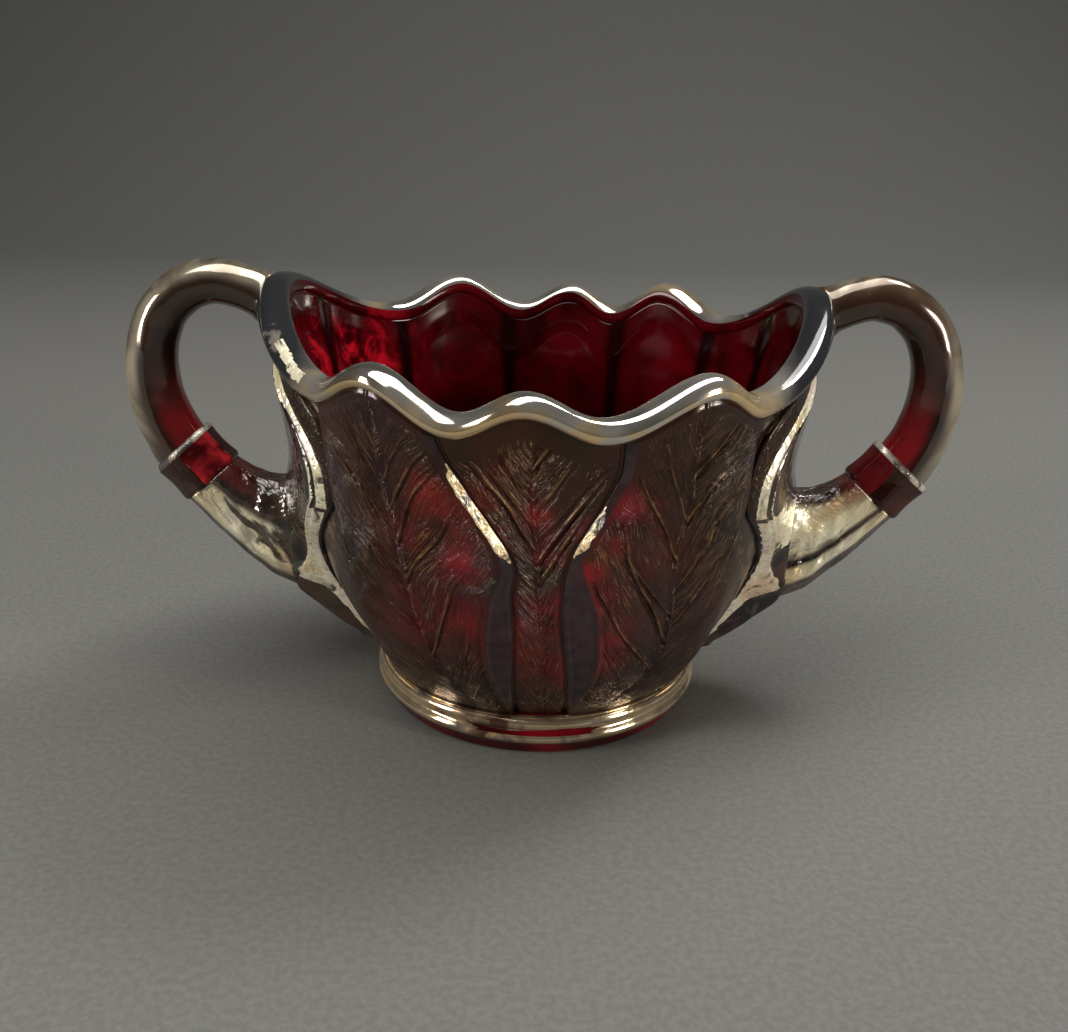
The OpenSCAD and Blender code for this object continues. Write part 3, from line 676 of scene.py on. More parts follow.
def stem_lustre(name, left):
    """Gold film on the faces of a stem, painted bright on the faces that catch the light as highlight and dark on the
    others as shade: 'm' runs from its top to its bottom.
    """
    m = Nodes(name)
    x, y, z = m.xyz()
    band = m.attr("m")
    # streaks that run along the stem
    comb = m.nt.nodes.new("ShaderNodeCombineXYZ")
    ax = m.math("ABSOLUTE", x)
    m.put(comb.inputs[0], m.math("MULTIPLY", m.math("ADD", m.math("MULTIPLY", ax, 0.66), m.math("MULTIPLY", z, 0.75)), 0.38))
    m.put(comb.inputs[1], y)
    m.put(comb.inputs[2], m.math("SUBTRACT", m.math("MULTIPLY", ax, 0.75), m.math("MULTIPLY", z, 0.66)))
    vec = comb.outputs[0]
    n1 = m.noise(150, 4, 0.6, 0.6, vec)
    n2 = m.noise(90, 3, 0.5, 0.8, vec)
    # painted highlight on the faces that catch the light; the other faces stay dark as painted shade
    if left:
        lit_faces = m.math("MULTIPLY", m.range(band, 0.36, 0.48), m.range(band, 0.93, 0.82))
    else:
        lit_faces = m.math("MAXIMUM", m.math("MULTIPLY", m.range(band, 0.06, 0.16), m.range(band, 0.62, 0.55)),
                      m.math("MULTIPLY", m.range(band, 0.65, 0.70), m.range(band, 0.86, 0.80)))
    g = m.math("MULTIPLY", lit_faces, m.range(n1, 0.42, 0.50, 0.05, 1.0) if left else m.range(n1, 0.34, 0.44, 0.10, 1.0), clamp=True)
    gold = m.ramp(n2, [(0.32, (0.80, 0.56, 0.30)), (0.46, (0.96, 0.84, 0.54)), (0.58, (1.0, 0.94, 0.70)),
                       (0.68, (0.90, 0.62, 0.60))])
    low_ = m.mix(m.range(n1, 0.4, 0.65), (0.016, 0.010, 0.008), (0.085, 0.055, 0.038))
    if left:
        red = m.math("MULTIPLY", m.range(band, 0.26, 0.16), m.range(ax, 0.050, 0.057), clamp=True)
        low_ = m.mix(m.math("MULTIPLY", red, m.range(n2, 0.35, 0.6, 0.3, 1.0)), low_, (0.30, 0.006, 0.010))
    else:
        red = m.math("MULTIPLY", m.range(band, 0.45, 0.20), m.range(ax, 0.0535, 0.0585), clamp=True)
        g = m.math("MULTIPLY", g, m.range(red, 0, 1, 1, 0.35))
        low_ = m.mix(red, low_, (0.20, 0.030, 0.020))
    col = m.mix(g, low_, gold)
    nrm = m.bump(n1, 0.0016, 1.0)
    nrm = m.bump(m.noise(260, 3, 0.6, 0.8), 0.0004, 1.0, nrm)
    nrm = m.bump(m.noise(420, 3, 0.6, 0.5), 0.00010, 1.0, nrm)
    m.set(color=col, metallic=m.math("MULTIPLY", g, 0.38), rough=m.range(g, 0, 1, 0.14, 0.33), ior=1.7, normal=nrm,
          coat=0.5, coat_rough=0.06, coat_ior=1.55, coat_normal=nrm)
    return m.mat


def foil(name, a=(1.0, 0.88, 0.60), b=(0.90, 0.68, 0.38), c=(0.95, 0.78, 0.70), scale=230.0, cut=(0.34, 0.47),
         under=(0.05, 0.028, 0.018)):
    """Thick crinkled film, painted bright as the highlight on edges, steps and lips that catch the light: it scatters
    more than it mirrors.
    """
    m = Nodes(name)
    n1 = m.noise(scale, 4, 0.65, 0.8)
    n2 = m.noise(scale * 0.5, 3, 0.5, 0.6)
    g = m.range(n1, cut[0], cut[1])
    col = m.mix(m.range(n2, 0.35, 0.5), b, a)
    col = m.mix(m.range(n2, 0.56, 0.66, 0, 0.85), col, c)
    col = m.mix(g, under, col)
    nrm = m.bump(n1, 0.0006, 1.0)
    nrm = m.bump(m.noise(scale * 4, 3, 0.6), 0.00010, 1.0, nrm)
    m.set(color=col, metallic=m.math("MULTIPLY", g, 0.30), rough=m.range(n1, 0.35, 0.7, 0.36, 0.20), ior=1.8,
          normal=nrm, coat=0.7, coat_rough=0.10, coat_ior=1.7, coat_normal=nrm)
    return m.mat


def ruby(name, deep=(0.010, 0.0004, 0.0010), bright=(0.10, 0.0018, 0.0035), scale=26.0, film=None, rough=0.12, spec=0.5):
    """Deep ruby glass, seen from the inside of the bowl and in the foot."""
    m = Nodes(name)
    n = m.noise(scale, 4, 0.5, 0.4)
    x, y, z = m.xyz()
    col = m.mix(m.range(n, 0.36, 0.68), deep, bright)
    if film is None:
        # painted light: each leaf outside shows as a lighter panel, as light through it would, high up and to the left
        # most; painted shade darkens the seams between the panels
        p = m.range(m.attr("panel"), 0.05, 0.9)
        tex = m.range(m.noise(75, 4, 0.6, 0.7), 0.34, 0.66, 0.15, 1.0)
        up_ = m.math("MULTIPLY", m.range(z, 0.026, 0.058), m.range(y, -0.01, 0.030))
        f = m.math("MULTIPLY", m.math("MULTIPLY", up_, tex), p, clamp=True)
        col = m.mix(m.range(p, 0, 0.8, 0.72, 0.0), col, (0.0045, 0.0003, 0.0006))
        col = m.mix(m.math("MULTIPLY", f, 0.9), col, (0.135, 0.0018, 0.0050))
        # painted glow: a bright red patch on the left, where light would come through
        left_glow = m.math("MULTIPLY", m.range(x, -0.022, -0.036), m.math("MULTIPLY", m.range(z, 0.040, 0.052), m.range(z, 0.071, 0.063)))
        left_glow = m.math("MULTIPLY", left_glow, m.range(m.noise(130, 5, 0.65, 1.0), 0.46, 0.66))
        col = m.mix(m.math("MULTIPLY", left_glow, p), col, (0.50, 0.006, 0.016))
        # painted shade: darker just under the rim
        col = m.mix(m.range(m.attr("depth"), 0.05, 0.0, 0, 0.35), col, (0.004, 0.0004, 0.0006))
        seeds = m.range(m.voronoi(260), 0.06, 0.025)
        col = m.mix(m.math("MULTIPLY", seeds, 0.22), col, (0.30, 0.08, 0.08))
    metal = 0.0
    if film is not None:
        f = m.range(m.noise(scale * 1.6, 4, 0.6, 0.8), film[0], film[1])
        col = m.mix(f, col, film[2])
        metal = m.math("MULTIPLY", f, 0.75)
    nrm = m.bump(m.noise(90, 2, 0.4), 0.00015, 0.6)
    m.set(color=col, metallic=metal, rough=rough, ior=1.5, normal=nrm, spec_tint=(1.0, 0.85, 0.85),
          spec=0.22 if film is None else spec)
    return m.mat


M_LEAF = leaf_lustre()
M_WALL = leaf_lustre("lustre_wall", hair=False)
M_INSIDE = ruby("ruby_inside", (0.0085, 0.0004, 0.0009), (0.040, 0.0010, 0.0022))
M_RIM = metal_lustre("lustre_rim", (0.52, 0.46, 0.38), (0.86, 0.82, 0.75), 0.95, 30.0, 0.00012,
                     ((0.92, 0.70, 0.40), (0.55, 0.50, 0.50)), 0.06, 0.14, side_reflect_dark=(0.026, 0.027, 0.030), lip=(0.98, 0.72, 0.38))
M_HANDLE = metal_lustre("lustre_handle", (0.018, 0.010, 0.007), (0.070, 0.044, 0.028), 0.5, 34.0, 0.00012,
                        ((0.060, 0.022, 0.014), (0.08, 0.07, 0.06)), 0.08, 0.18, cut=(0.40, 0.72),
                        inner_red=(0.26, 0.008, 0.010))
M_GOLD = foil("foil_gold_highlight", (1.0, 0.93, 0.68), (0.95, 0.76, 0.44), (1.0, 0.84, 0.72))
M_STEP = foil("foil_step_highlight", (1.0, 0.80, 0.46), (0.72, 0.44, 0.20), (1.0, 0.90, 0.66), 260.0, (0.40, 0.50))
M_PINK = foil("foil_pale_highlight", (1.0, 0.93, 0.70), (0.95, 0.70, 0.48), (0.95, 0.70, 0.72), 240.0, (0.30, 0.42))
M_STEM = [stem_lustre("lustre_stem_right", False), stem_lustre("lustre_stem_left", True)]
M_CLASP = metal_lustre("lustre_clasp", (0.014, 0.008, 0.006), (0.13, 0.09, 0.055), 0.4, 60.0, 0.00016,
                       ((0.09, 0.035, 0.030), (0.09, 0.10, 0.08)), 0.10, 0.2, cut=(0.46, 0.70))
M_CUFF = ruby("ruby_cuff", (0.018, 0.004, 0.003), (0.050, 0.008, 0.006), 70.0, film=(0.46, 0.66, (0.10, 0.070, 0.050)))
M_CUFF_RED = [ruby("ruby_cuff_red_right", (0.030, 0.0025, 0.003), (0.20, 0.010, 0.012), 150.0, film=(0.56, 0.76, (0.16, 0.08, 0.06))),
              ruby("ruby_cuff_red_left", (0.07, 0.0025, 0.004), (0.66, 0.030, 0.040), 190.0, film=(0.56, 0.72, (0.55, 0.24, 0.20)))]
M_CUFF_LIP = foil("lustre_cuff_lip_highlight", (0.74, 0.67, 0.55), (0.34, 0.26, 0.20), (0.66, 0.50, 0.45), 190.0, (0.42, 0.54),
                  (0.06, 0.04, 0.035))
M_FOOT = ruby("ruby_foot", (0.030, 0.0012, 0.002), (0.17, 0.003, 0.007), 60.0, film=(0.66, 0.84, (0.12, 0.05, 0.035)), spec=0.25)
M_FOOT_EDGE = metal_lustre("lustre_foot_edge", (0.13, 0.060, 0.036), (0.86, 0.70, 0.46), 0.88, 75.0, 0.00020,
                           ((0.80, 0.58, 0.32), (0.26, 0.23, 0.22)), 0.09, 0.22, cut=(0.38, 0.58))


# ------------------------------------------------------------------ leaves
def leaf_piece(node, field, k, flip):
    """A leaf from its decorated grid, laid on place k, mirrored or not."""
    f = dict(field)
    S, V = f["S"], f["V"]
    if flip:
        S = 1 - S[:, ::-1]
        for key in ("t", "hair_u", "hair", "glow", "lens", "ridge"):
            f[key] = f[key][:, ::-1]
    a = edge(k, V) * (1 - S) + edge(k + 1, V) * S
    a1 = edge(k, 1.0) * (1 - S) + edge(k + 1, 1.0) * S
    z = ZB + (wall_top(a1) - ZB) * V
    z = np.minimum(z, wall_top(a1) + 0.0)
    outer = polar(a, r_core(z) + f["t"], z)
    inner = polar(a, r_core(z) - 0.04, z)[::4, ::4]
    v, faces = shell(outer, inner)
    n = inner.shape[0] * inner.shape[1]
    attrs = {}
    for key in ("hair_u", "hair", "glow", "lens", "ridge"):
        attrs[key] = np.concatenate([f[key].ravel(), np.zeros(n)])
    lit = np.zeros(len(faces), int)
    if f["key"] != "C":
        # painted highlight: the steps down to the middle leaf carry a brighter film where they face the light
        b = f["bevel"][:, ::-1] if flip else f["bevel"]
        b = b[:-1, :-1].reshape(-1)
        lit[:len(b)] = (b > 0.5).astype(int)
    return new_piece("v_" + node, v, faces, [M_LEAF, M_STEP], [node], face_mat=lit, attrs=attrs)


leaf_piece("leaf_front", FIELDS["C"], 0, False)
leaf_piece("leaf_front_right", FIELDS["R"], 1, False)
leaf_piece("leaf_front_left", FIELDS["L"], 11, False)
leaf_piece("leaf_back_right", FIELDS["R"], 5, True)
leaf_piece("leaf_back", FIELDS["C"], 6, True)
leaf_piece("leaf_back_left", FIELDS["L"], 7, True)

# ------------------------------------------------------------ clasp leaves
KEEL = np.array([(7.6, 33.2), (11.3, 38.6), (15.3, 43), (18.2, 46.5), (41.5, 46.5), (46.4, 45.4), (90, 45.4)])


CLASP_V = np.array([(0, 81), (0.13, 79), (0.22, 77), (0.31, 73), (0.39, 68), (0.46, 61.5), (0.52, 56), (0.575, 52.2),
                    (0.64, 50.7), (0.72, 51.0), (0.78, 52.0), (0.833, 55.5), (0.88, 62), (0.917, 74), (1, 77)])
# the bright line on it, higher up, stands in from that outline
LINE_V = np.array([(0, 81), (0.13, 79), (0.22, 77), (0.31, 73), (0.39, 68), (0.46, 61.5), (0.52, 56.4), (0.575, 52.6),
                   (0.64, 52.2), (0.72, 55.6), (0.78, 61.4), (0.833, 67.2), (0.88, 72.5), (0.917, 78.5), (1, 81)])


def soften(g, times):
    for _ in range(times):
        h = np.pad(g, 1, mode="edge")
        g = (h[:-2, 1:-1] + h[2:, 1:-1] + h[1:-1, :-2] + h[1:-1, 2:] + 4 * g) / 8
    return g


def clasp_piece(node, k):
    nr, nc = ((264, 280))
    v = np.linspace(0, 11 / 12, nr + 1)
    s = np.linspace(-1, 1, nc + 1)
    s = s - 0.24 / np.pi * np.sin(np.pi * s)                 # finer close to the edges
    V, S = np.meshgrid(v, s, indexing="ij")
    half = 90 - pchip(V, CLASP_V[:, 0], CLASP_V[:, 1])
    # the leaves either side do not stand quite evenly about it
    lo_, hi_ = (2.3, 0.0) if k == 3 else (3.8, 1.6)
    win = smooth01((V - 0.50) / 0.12) * (1 - smooth01((V - 0.76) / 0.12))
    half = half + win * np.where(S < 0, lo_, hi_) * smooth01(np.abs(S) * 4)
    al = S * half
    ab = np.abs(al)
    full = half
    half = np.minimum(90 - pchip(V, LINE_V[:, 0], LINE_V[:, 1]), full)
    half1 = 90 - CLASP[-1, 1]
    mid = 90 if k == 3 else 270
    z = ZB + (wall_top(mid + S * half1) - ZB) * V
    boss = np.where(V < 0.2, 3 + 3.6 * V, np.minimum(7.7, 0.55 * half))
    bev = half - np.minimum(2.2, 0.15 * half) - 1.3 * smooth01((z - 55) / 6)
    ro = r_out(z)
    kk = np.maximum(np.interp(z, KEEL[:, 0], KEEL[:, 1]), ro)
    rb = kk / np.cos(np.radians(boss))
    t = np.clip((bev - ab) / np.maximum(bev - boss, 1e-6), 0, 1)
    r = ro + (rb - ro) * t ** 1.6
    r = np.where(ab < boss, kk / np.cos(np.radians(ab)), r)
    r = soften(r, 60)
    rim = r_core(z) + 0.8
    tb = np.clip((half - ab) / np.maximum(half - bev, 1e-6), 0, 1)
    r = rim + (r - rim) * tb ** 0.8
    # a raised rib inside the bevel, with a shallow dish on either side
    mm = (half - ab) * np.pi / 180 * ro
    r = r + 0.30 * np.exp(-(((mm - 3.7) / 0.45) ** 2)) * (V < 0.95) * (half > 12)
    r = r - 0.30 * np.exp(-(((mm - 2.6) / 0.5) ** 2)) * (half > 12) - 0.25 * np.exp(-(((mm - 5.2) / 1.0) ** 2)) * (half > 14)
    panel = smooth01((ab - half) / 0.6)
    hair = panel * smooth01((full - ab) / 1.2) * smooth01((z - 40) / 4)
    low_r = r_core(z) + 0.8 + 0.45 * smooth01((full - ab) / 1.5) + 0.08 * np.sin(along(z) * 4.2 + ab * 2.4) * hair
    r = np.where(ab > half, np.minimum(low_r, ro), r)
    wave = wobble(al * 0.8, along(z), 41 + k, scale=0.5)
    r = r + 0.12 * wave * smooth01((mm - 1.5) / 2) + 0.05 * wobble(al, along(z), 44 + k, scale=2.2)
    w = smooth01((V - 9.6 / 12) / (1.4 / 12))
    r = r * (1 - w) + (r_core(z) + 0.5) * w
    outer = polar(mid + al, r, z)
    inner = polar(mid + al, r_core(z) - 0.04, z)[::4, ::4]
    vv, faces = shell(outer, inner)
    lit = np.zeros(len(faces), int)
    nq = nr * nc
    # painted highlight: the bevelled edges carry the bright film, where they catch the light
    mq = (mm + 0.18 * wobble(al, along(z) * 1.2, 47 + k, scale=1.6))[:-1, :-1].reshape(-1)
    hq = half[:-1, :-1].reshape(-1)
    zq = z[:-1, :-1].reshape(-1)
    up_ = (mq > 0.05) & (mq < 2.1 + 1.7 * smooth01((zq - 55) / 6)) & (zq > 43.6) & (hq > 7)
    low_ = (mq > 0.05) & (mq < 2.0 + 2.1 * smooth01((zq - 14) / 12)) & (zq < 42.6) & (zq > 8.5)
    thin = (np.abs(mq - 3.9) < 0.5) & (zq > 39) & (zq < 52)
    if k == 3:
        # painted highlight: the broad pale facet at the root of the right-hand stem
        aq = al[:-1, :-1].reshape(-1)
        rag = wobble(aq * 0.5, zq * 0.8, 71, scale=1.3) + 0.5 * wobble(aq, zq, 72, scale=3.0)
        low_ = low_ | ((aq < -2.5) & (mq > 4.2) & (zq > 31.5 + 0.10 * mq + 1.3 * rag) & (zq < 43.5 - 0.14 * mq + 1.3 * rag))
    lit[:nq] = np.where(low_ | thin, 2, np.where(up_, 1, np.where(ab[:-1, :-1].reshape(-1) > hq + 0.05, 3, 0)))
    pad = np.zeros(inner.shape[0] * inner.shape[1])
    attrs = {"hair": np.append(hair.ravel(), pad), "hair_u": np.append((along(z) * 0.45 - ab * 0.62).ravel(), pad),
             "glow": np.append(0 * hair.ravel(), pad), "ridge": np.append(0 * hair.ravel(), pad),
             "lens": np.append(0 * hair.ravel(), pad)}
    new_piece("v_" + node, vv, faces, [M_CLASP, M_GOLD, M_PINK if k == 3 else M_GOLD, M_LEAF], [node], face_mat=lit, attrs=attrs)


clasp_piece("clasp_leaf_right", 3)
clasp_piece("clasp_leaf_left", 9)

# -------------------------------------------------------------------- bowl
EDGE_ALL = np.array([float(edge(k, 0.9)) % 360 for k in range(12)])


def bowl_piece():
    nc = 720
    no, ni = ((36, 96))
    a = np.linspace(0, 360, nc, endpoint=False)
    zt = wall_top(a)
    rings = []
    for v in np.linspace(0, 1, no + 1):
        z = ZB + (zt - ZB) * v
        rings.append(polar(a, r_core(z) - 0.02, z))
    z0 = 11.0
    inside = []
    look = []
    for v in np.linspace(1, 0, ni + 1):
        z = z0 + (zt - z0) * v
        r = r_in(z)
        # shallow arches and flutes that echo the leaves outside
        d = np.abs((a[:, None] - EDGE_ALL[None, :] + 180) % 360 - 180).min(1)
        arch = smooth01((rim_top(a) - 6.5 - 0.030 * (12 - np.minimum(d, 12)) ** 2 - z) / 4.0)
        # panel and depth set where the inside is painted lighter, as light through each leaf, and painted darker at the
        # seams and just under the rim
        look.append(np.stack([smooth01((d + 0.2) / 4.6) * (0.50 + 0.50 * arch), np.clip((zt - z) / 20, 0, 1)]))
        fade = smooth01((z - 14) / 22)
        r = r + 0.40 * arch * fade - 0.40 * np.exp(-((d / 2.4) ** 2)) * fade * (0.3 + 0.7 * arch)
        r = r + 0.05 * np.sin(np.radians(a * 24)) * arch * fade
        inside.append(polar(a, r, z))
    # rounded into the floor
    for f in np.linspace(0.96, 0.02, 18):
        z = np.full(nc, z0 - 0.55 * (1 - f**2) + 0.0)
        inside.append(polar(a, r_in(z0) * f + 0 * a, z))
    n_out = len(rings)
    rr = np.array(rings + inside)
    v, faces = tube(rr, closed=False)
    fm = np.zeros(len(faces), int)
    fm[:] = 1
    fm[:nc * (n_out - 1)] = 0
    floor_n = len(inside) - len(look)
    at = np.concatenate([np.zeros((n_out, 2, nc)), np.array(look), np.tile(np.array([[0.3], [1.0]]), (floor_n, 1, nc))])
    attrs = {"panel": np.append(at[:, 0].ravel(), [0, 0.3]), "depth": np.append(at[:, 1].ravel(), [0, 1])}
    new_piece("v_cup_wall", v, faces, [M_WALL, M_INSIDE], ["cup_wall"], face_mat=fm, attrs=attrs)


bowl_piece()


# -------------------------------------------------------------------- bead
def closed_curve(pts, n, closed=True):
    """Rounded closed section through given corner points, evenly spaced."""
    p = np.asarray(pts, float)
    m = len(p)
    out = []
    for i in range(m):
        a, b, c, d = p[(i - 1) % m], p[i], p[(i + 1) % m], p[(i + 2) % m]
        for t in np.linspace(0, 1, 24, endpoint=False):
            out.append(0.5 * (2 * b + (c - a) * t + (2 * a - 5 * b + 4 * c - d) * t**2 + (3 * b - a - 3 * c + d) * t**3))
    out = np.array(out)
    d = np.linalg.norm(np.roll(out, -1, 0) - out, axis=-1)
    cum = np.concatenate([[0], np.cumsum(d)])
    full = np.concatenate([out, out[:1]])
    s = np.linspace(0, cum[-1], n, endpoint=False)
    return np.stack([np.interp(s, cum, full[:, j]) for j in range(out.shape[1])], -1)


def bead_piece():
    nc = 1440
    ns = 56
    a = np.linspace(0, 360, nc, endpoint=False)
    rings = []
    for ai in a:
        zt = float(rim_top(ai))
        zw = zt - BEAD
        rc = float(r_core(zw))
        ri = float(r_in(zw))
        ro = rc + 2.4
        u = 0.10 * math.sin(math.radians(ai * 5 + 40)) + 0.07 * math.sin(math.radians(ai * 11))
        sec = [(ri + 0.1, zw - 0.05), (ri - 0.10, zw + 1.2), (ri + 0.3, zt - 0.95), (ri + 1.25, zt - 0.22),
               (ri + 2.7, zt + 0.0), (ri + 4.1, zt - 0.22 + u * 0.5), (ro - 0.45, zt - 0.95),
               (ro + 0.02, zt - 1.9 + u), (ro - 0.05, zw + 0.75), (ro - 0.75, zw + 0.02),
               (rc + 0.5, zw - 0.0), (ri + 2.0, zw - 0.02)]
        c = closed_curve(sec, ns)
        rings.append(polar(np.full(ns, ai), c[:, 0], c[:, 1]))
    rings = np.array(rings)
    v, faces = tube(rings, closed=True)
    rr = np.hypot(rings[..., 0], rings[..., 1])
    zt = rim_top(a)[:, None]
    ri = r_in(zt - BEAD)
    inner = (rr < ri + 0.5 + 0.0 * zt) & (rings[..., 2] < zt - 1.25)
    fm = (inner & np.roll(inner, -1, 1)).astype(int)
    lip = smooth01((rr - ri - 3.6) / 1.0) * smooth01((zt - 0.9 - rings[..., 2]) / 1.2)
    # a bright gold patch on the front of the left-hand lobe
    ang = (a[:, None] + 180) % 360 - 180 + 0 * rr
    fit_ = wobble(ang * 0.8, rings[..., 2], 61, scale=1.2)
    run = ri + 4.1 + (ang + 57.5) * 0.06
    gold_patch = (np.abs(ang + 57.5) < 6.3 + 0.5 * fit_) & (np.abs(rr - run) < 0.72 + 0.25 * fit_) & (rings[..., 2] > zt - 2.0)
    fm = np.where(gold_patch, 2, fm).ravel()
    n = len(v)
    new_piece("v_rim_bead", v, faces, [M_RIM, M_INSIDE, M_GOLD], ["rim_bead"], face_mat=fm,
              attrs={"panel": np.full(n, 0.55), "depth": np.full(n, 0.5), "lip": lip.ravel()})


bead_piece()


# -------------------------------------------------------------------- foot
def foot_piece():
    prof = [(0.0, 2.6), (12, 2.6), (22, 2.6), (23.7, 2.6), (24.4, 2.45), (25.2, 1.5), (25.7, 0.85), (26.1, 0.5),
            (26.5, 0.12), (27.0, 0.0), (28.2, 0.0), (28.7, 0.05), (29.15, 0.3), (29.45, 0.75), (29.8, 1.5), (30.25, 2.35),
            (30.6, 2.85), (30.9, 3.2), (31.1, 3.7), (31.05, 4.15), (30.75, 4.6), (30.45, 5.0), (30.4, 5.35),
            (30.62, 5.85), (30.72, 6.4), (30.55, 6.9), (30.15, 7.3), (29.6, 7.5), (29.1, 7.6), (20, 7.6), (0.0, 7.6)]
    p = np.array(prof)
    fine = []
    for i in range(len(p) - 1):
        a, b, c, d = p[max(i - 1, 0)], p[i], p[i + 1], p[min(i + 2, len(p) - 1)]
        for t in np.linspace(0, 1, 4, endpoint=False):
            fine.append(0.5 * (2 * b + (c - a) * t + (2 * a - 5 * b + 4 * c - d) * t**2 + (3 * b - a - 3 * c + d) * t**3))
    fine.append(p[-1])
    fine = np.array(fine)
    fine[:, 1] = np.clip(fine[:, 1], 0, 7.6)
    fine = fine[1:-1]
    fine[:, 0] = np.maximum(fine[:, 0], 0.5)
    nc = 480
    a = np.linspace(0, 360, nc, endpoint=False)
    un = 0.05 * np.sin(np.radians(a * 3 + 20)) + 0.035 * np.sin(np.radians(a * 7))
    rings = []
    for r, z in fine:
        k = 1.0 if 3 < z < 7.2 and r > 28 else 0.0
        rings.append(polar(a, r + un * k, z + 0 * a))
    v, faces = tube(np.array(rings))
    zf = np.array([v[list(f)][:, 2].mean() for f in faces])
    rf = np.array([np.hypot(*v[list(f)][:, :2].T).mean() for f in faces])
    ff = np.array([np.degrees(np.arctan2(v[list(f)][:, 0].mean(), -v[list(f)][:, 1].mean())) for f in faces])
    bare = (zf > 4.45) & (zf < 5.45 + 0.35 * np.sin(np.radians(ff * 9))) & (np.abs(ff) < 21 + 2 * np.sin(zf * 5))
    edge_film = (zf > 3.1) & (rf > 28.95) & ~bare
    new_piece("v_foot_ring", v, faces, [M_FOOT, M_FOOT_EDGE], ["foot_ring"], face_mat=edge_film.astype(int))


foot_piece()

# ----------------------------------------------------------------- handles
LINE = np.array([(49.2, 73.3, 0.08), (53.2, 75, 0), (57.7, 75.9, 0), (61.8, 75.1, 0.04), (65, 73.2, 0.1),
                 (67.8, 70.1, 0.2), (69.8, 65.6, 0.34), (70.7, 60.2, 0.5), (70.4, 55.2, 0.66), (69.2, 50.5, 0.82),
                 (66.9, 45.7, 1)])
CUFF_C = np.array([66.9, 45.7])
CUFF_D = np.array([-0.66, -0.751])
CUFF_N = np.array([0.751, -0.66])


def turn(v, left):
    if left:
        v = v.copy()
        v[..., 0] *= -1
        v[..., 1] *= -1
    return v


def spline(u):
    k = min(len(LINE) - 2, int(u))
    t = u - k
    a, b, c, d = (LINE[max(0, min(len(LINE) - 1, i))] for i in (k - 1, k, k + 1, k + 2))
    return 0.5 * (2 * b + (c - a) * t + (2 * a - 5 * b + 4 * c - d) * t**2 + (3 * b - a - 3 * c + d) * t**3)


def handle_piece(node, left):
    n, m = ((300, 144))
    th = np.linspace(0, 2 * np.pi, m, endpoint=False)
    rings = []
    seed = 3 if left else 8
    # the root runs a little way into the bead and flares there
    for x in np.linspace(46.6, 49.1, 8):
        f = (49.2 - x) / 2.6
        w = (8 + 2.6 * 0.08) / 2 * (1 + 0.16 * f**1.5)
        rings.append(np.stack([np.full(m, x), w * np.sin(th), 73.3 - 0.9 * f + w * 0.96 * np.cos(th)], -1))
    for i in range(n + 1):
        u = i * (len(LINE) - 1) / n
        p = spline(u)
        if i == 0:
            d = np.array([1.0, 0.18])
        elif i == n:
            d = CUFF_D
        else:
            q = spline(min(u + 0.05, 9.9999)) - spline(max(u - 0.05, 0))
            d = q[:2]
        d = d / np.hypot(*d)
        nrm = np.array([-d[1], d[0]])
        f = np.clip(p[2], 0, 1)
        w = (8 + 2.6 * f) / 2
        h = smooth01((f - 0.12) / 0.6)
        c, s = np.abs(np.cos(th)), np.abs(np.sin(th))
        # hexagon with softened corners, a ridge to the front and the back
        hexa = 1 / ((c / w) ** 9 + (s / (w * 0.98) + c / (w * 1.72)) ** 9) ** (1 / 9)
        r = w * (1 - h) + hexa * h
        s_mm = i * 0.18
        r = r + 0.10 * wobble(np.cos(th) * 2.5 + 0 * th, np.sin(th) * 2.5 + s_mm * 0.6, seed, scale=0.8)
        flare = 1 + 0.10 * np.exp(-((i * 0.17) / 1.2) ** 2)
        a_, b_ = r * np.cos(th) * flare, r * np.sin(th) * flare
        rings.append(np.stack([p[0] + nrm[0] * a_, b_, p[1] + nrm[1] * a_], -1))
    # carry on a hair's breadth into the cuff
    last = rings[-1] + np.array([CUFF_D[0], 0, CUFF_D[1]]) * 0.3
    rings.append(last)
    v, faces = tube(turn(np.array(rings), left))
    outer = np.tile(np.cos(th), len(rings))
    new_piece("v_" + node, v, faces, [M_HANDLE], [node], attrs={"outer": np.append(outer, [0, 0])})


handle_piece("handle_loop_right", False)
handle_piece("handle_loop_left", True)


